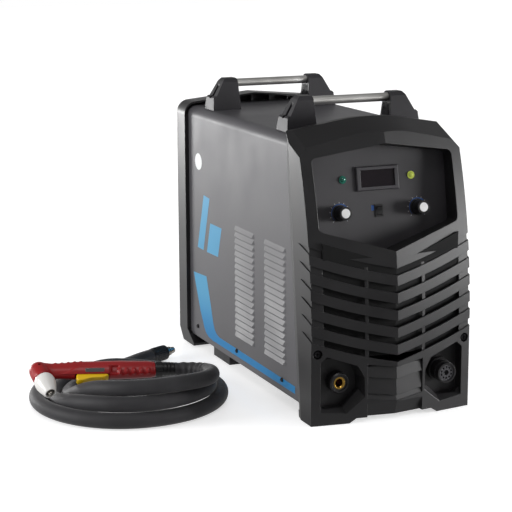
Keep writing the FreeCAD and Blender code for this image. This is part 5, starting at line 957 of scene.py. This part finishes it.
def printed(name, bm):
    """A blue mark of flat faces in panel coordinates."""
    bmesh.ops.solidify(bm, geom=bm.faces[:], thickness=INK * MM)
    piece(name, mesh_of(bm, name, panel_place), ink_blue, "panel_sheet", smooth=False)


ink_white = flat_finish("printed_white_ink", "#c9c8cb", 0.6)
ink_blue = flat_finish("printed_blue_ink", "#2f62ad", 0.5)
print("panel leans back by", PANEL_LEAN, "degrees")

# %% Tick tree
DIAL_SWEEP = 270
tree, given = new_tree("dial_ticks", Count="Int", Radius="Float", Long="Float", Wide="Float")
arc = add(tree, "CurveArc", {"Resolution": given["Count"], "Radius": given["Radius"],
                             "Start Angle": radians(-45), "Sweep Angle": radians(DIAL_SWEEP)},
          mode="RADIUS")
bar_size = vector(tree, X=given["Long"], Y=given["Wide"], Z=0.1 * MM)
bar = add(tree, "MeshCube", {"Size": bar_size})
outward = add(tree, "AlignRotationToVector", {"Vector": add(tree, "InputPosition")}, axis="X")
ticks = add(tree, "InstanceOnPoints", {"Points": arc, "Instance": bar, "Rotation": outward})
close_tree(tree, given, ticks)
tick_tree = tree
print("tick tree has", len(tick_tree.nodes), "nodes")

# %% Dial scales
DIAL_X = 73.4
ARC_R, ARC_THIN, ARC_GROWS, ARC_STEPS = 15.0, 0.4, 2.6, 40
for dial, x in (("postflow", -DIAL_X), ("current", DIAL_X)):
    tree_piece(f"{dial}_scale", tick_tree,
               {"Count": 11, "Radius": 18.2 * MM, "Long": 2.2 * MM, "Wide": 0.55 * MM},
               ink_white, "panel_sheet", smooth=False,
               place=panel_place @ turn(90, "X") @ shift(x, 0, 0))
    bm = bmesh.new()
    inner, outer = [], []
    for i in range(ARC_STEPS + 1):
        a = radians(225 - DIAL_SWEEP * i / ARC_STEPS)
        for rim, r in ((inner, ARC_R), (outer, ARC_R + (ARC_THIN + ARC_GROWS * i / ARC_STEPS))):
            rim.append(bm.verts.new(mm(x + r * cos(a), -INK_PROUD, r * sin(a))))
    for i in range(ARC_STEPS):
        bm.faces.new((inner[i], inner[i + 1], outer[i + 1], outer[i]))
    printed(f"{dial}_arc", bm)

# %% Mark beside the rocker
MARK_OUTLINE = ((-14.2, 0.6), (-9.2, 0.6), (-9.2, 9.4), (-14.2, 9.4))
bm = bmesh.new()
bm.faces.new([bm.verts.new(mm(x, -INK_PROUD, z)) for x, z in MARK_OUTLINE])
printed("rocker_mark", bm)

# %% [markdown]
# ## Vinyl on the cover
# A blue stripe runs down from the middle of each side and along the bottom edge, and a
# plain pair of slanted bars stands above it. The vinyl is a strong blue, painted paler
# towards the top as a painted sheen for the light that the upper side catches, so its
# colour follows height.

# %% Vinyl material
SHEEN_LOW, SHEEN_HIGH = 35, 130
vinyl = bpy.data.materials.new("gloss_vinyl_blue")
tree = empty_nodes(vinyl)
place = add(tree, "TexCoord").outputs["Object"]
height = add(tree, "SeparateXYZ", {"Vector": place}).outputs["Z"]
# painted sheen: the blue is mixed paler with height, for the light the upper side catches
painted_sheen = graded(tree, height, SHEEN_LOW * MM, SHEEN_HIGH * MM, kind="SMOOTHSTEP")
peel = noise(tree, place, 500.0)
principled(tree, {"Base Color": between(tree, painted_sheen, "#0079b4", "#4a9bc4"), "Roughness": 0.35,
                  "Specular IOR Level": 0.25,
                  "Normal": add(tree, "Bump", {"Height": peel, "Distance": 0.03 * MM})})
print("vinyl fades over", SHEEN_HIGH - SHEEN_LOW, "mm of height")

# %% Vinyl shapes
VINYL_FACE, VINYL_THICK = 0.12, 0.1  # the outer face stands this far off the cover
stripe_outline = [(-229, 33.2), (153, 33.6), (172, 35.6), (187, 41), (196, 49), (201, 58),
                  (216, 79), (250, 150), (182, 154), (163, 107), (149, 70), (142, 58),
                  (132, 51), (118, 48), (-229, 46.4)]
bar_outlines = [[(226, 204), (196, 203), (162, 309), (192, 311)],
                [(178, 203), (121, 204), (102, 262), (159, 262)]]
badge_outline = [(218 + 17.5 * cos(a), 372.4 + 16 * sin(a)) for a in angles_round(40)]


def vinyl_sheet(name, side, outlines, material):
    """Flat shapes cut from vinyl, on one side of the cover."""
    bm = bmesh.new()
    for outline in outlines:
        face = bm.faces.new([bm.verts.new(mm(side * (COVER_SIDE + VINYL_FACE), y, z))
                             for y, z in outline])
        body = bmesh.ops.extrude_face_region(bm, geom=[face])
        moved = [v for v in body["geom"] if isinstance(v, bmesh.types.BMVert)]
        bmesh.ops.translate(bm, verts=moved, vec=(-side * VINYL_THICK * MM, 0, 0))
    bmesh.ops.triangulate(bm, faces=[f for f in bm.faces if len(f.verts) > 4])
    piece(name, mesh_of(bm, name), material, "cover_paint", smooth=False)


for label, side in (("left", -1), ("right", 1)):
    vinyl_sheet(f"{label}_stripe", side, [stripe_outline], vinyl)
    vinyl_sheet(f"{label}_bars", side, bar_outlines, vinyl)
vinyl_sheet("left_badge", -1, [badge_outline], flat_finish("white_paper_label", "#d9dcdc", 0.45))

# %% [markdown]
# ## Behind the vents
# Through the vents one sees only darkness. A thin black sheet that follows the prow,
# behind the front, is painted shade for the dark inside the cabinet.

# %% Painted shade behind the vents
SHEET_LOW, SHEET_THICK, SHEET_BEHIND, SHEET_HALF = 112, 4, 9, 127
PROW_DEEP, PROW_HALF = 21, 150
VENT_TOP, VENT_RISE = 266, 42
# painted shade: a black sheet stands in for the dark inside the cabinet behind the vents
vent_shade_black = surface("painted_shade_black", "#0c0c0d", "#050506", 0.95, 1.5, 0.3, 0.0)
sheet_rings = []
for x in (-SHEET_HALF, -76, -38, 0, 38, 76, SHEET_HALF):
    near = FRONT - PROW_DEEP * (1 - abs(x) / PROW_HALF) + SHEET_BEHIND
    far = near + SHEET_THICK
    top = VENT_TOP + VENT_RISE * abs(x) / SHEET_HALF
    sheet_rings.append([mm(x, near, SHEET_LOW), mm(x, near, top), mm(x, far, top), mm(x, far, SHEET_LOW)])
bm = bmesh.new()
skin(bm, sheet_rings)
piece("vent_shade_sheet", mesh_of(bm, "vent_shade_sheet"), vent_shade_black, "electronics_black", smooth=False)

# %% [markdown]
# ## Floor, light and world
# The cutter stands on a white table in front of white paper, and the floor keeps its
# soft shadow and a faint mirror image. What the cutter itself mirrors is graded: floor
# and world are darker in front than behind, so that dark plastic keeps its depth. Four
# lamps add to the world: a low strip far behind, one on the left, a strong one low on
# the right and a thin strip overhead.

# %% Floor
floor_mesh = bmesh.new()
bmesh.ops.create_grid(floor_mesh, x_segments=1, y_segments=1, size=12)
floor = linked("floor", mesh_of(floor_mesh, "floor"))
floor.location = (0, 0, -0.0005)
table = bpy.data.materials.new("white_acrylic_table")
tree = empty_nodes(table)
gloss = add(tree, "BsdfPrincipled",
            {"Base Color": "#e9e9ea", "Roughness": 0.22, "IOR": 1.33, "Specular IOR Level": 0.35})
seen = add(tree, "LightPath").outputs
lift = add(tree, "Emission", {"Color": (1, 1, 1, 1), "Strength": 0.58})
none = add(tree, "Emission", {"Color": (0, 0, 0, 1), "Strength": 0.0})
glow = add(tree, "MixShader", {0: seen["Is Camera Ray"], 1: none, 2: lift})
both = add(tree, "AddShader", {0: gloss, 1: glow})
spot = add(tree, "SeparateXYZ", {"Vector": add(tree, "NewGeometry")})
depth = graded(tree, spot.outputs["Y"], -0.9, 0.1, 0.14, 0.5, kind="SMOOTHSTEP")
mirror_white = add(tree, "Emission", {"Color": (1, 1, 1, 1), "Strength": depth})
paper_like = add(tree, "MixShader", {0: seen["Is Glossy Ray"], 1: both, 2: mirror_white})
add(tree, "OutputMaterial", {"Surface": paper_like})
floor.data.materials.append(table)
print("floor is", round(floor.dimensions.x), "m wide")

# %% World
world = bpy.data.worlds.new("studio")
bpy.context.scene.world = world
tree = empty_nodes(world)
seen = add(tree, "LightPath").outputs
way = add(tree, "SeparateXYZ",
          {"Vector": add(tree, "TexCoord").outputs["Generated"]}).outputs
behind = graded(tree, way["Y"], -0.35, 0.35, kind="SMOOTHSTEP")
above = graded(tree, way["Z"], 0.45, 0.1, kind="SMOOTHSTEP")
mirrored = graded(tree, calc(tree, "MULTIPLY", behind, above), 0.0, 1.0, 0.18, 1.0)
around = add(tree, "Mix", {0: seen["Is Glossy Ray"], 2: 0.45, 3: mirrored})
direct = calc(tree, "MAXIMUM", seen["Is Camera Ray"], seen["Is Transmission Ray"])
strength = add(tree, "Mix", {0: direct, 2: around, 3: 1.0})
paper = add(tree, "Background", {"Color": (1, 1, 1, 1), "Strength": strength})
add(tree, "OutputWorld", {"Surface": paper})
print("world has", len(tree.nodes), "nodes")

# %% Lamps
def softbox(name, place, target, wide, high, watts):
    """A rectangular area lamp aimed at a point."""
    data = bpy.data.lights.new(name, "AREA")
    data.shape = "RECTANGLE"
    data.size, data.size_y = wide, high
    data.energy = watts
    made = linked(name, data)
    made.location = place
    made.rotation_euler = (Vector(target) - Vector(place)).to_track_quat("-Z", "Y").to_euler()
    print(name, watts, "W,", wide, "by", high, "m")


softbox("rear_softbox", (-2.0, 4.6, 0.2), (-0.15, 0.1, 0.3), 1.6, 0.3, 72)
softbox("left_softbox", (-2.5, 0.2, 0.8), (-0.3, -0.1, 0.12), 0.9, 0.9, 28)
softbox("right_softbox", (2.5, -1.25, 0.1), (0.1, -0.2, 0.2), 1.3, 1.3, 160)
softbox("top_strip", (-0.3, -1.3, 2.4), (0, 0, 0.45), 1.6, 0.35, 8)
bpy.context.scene.view_settings.view_transform = "Standard"
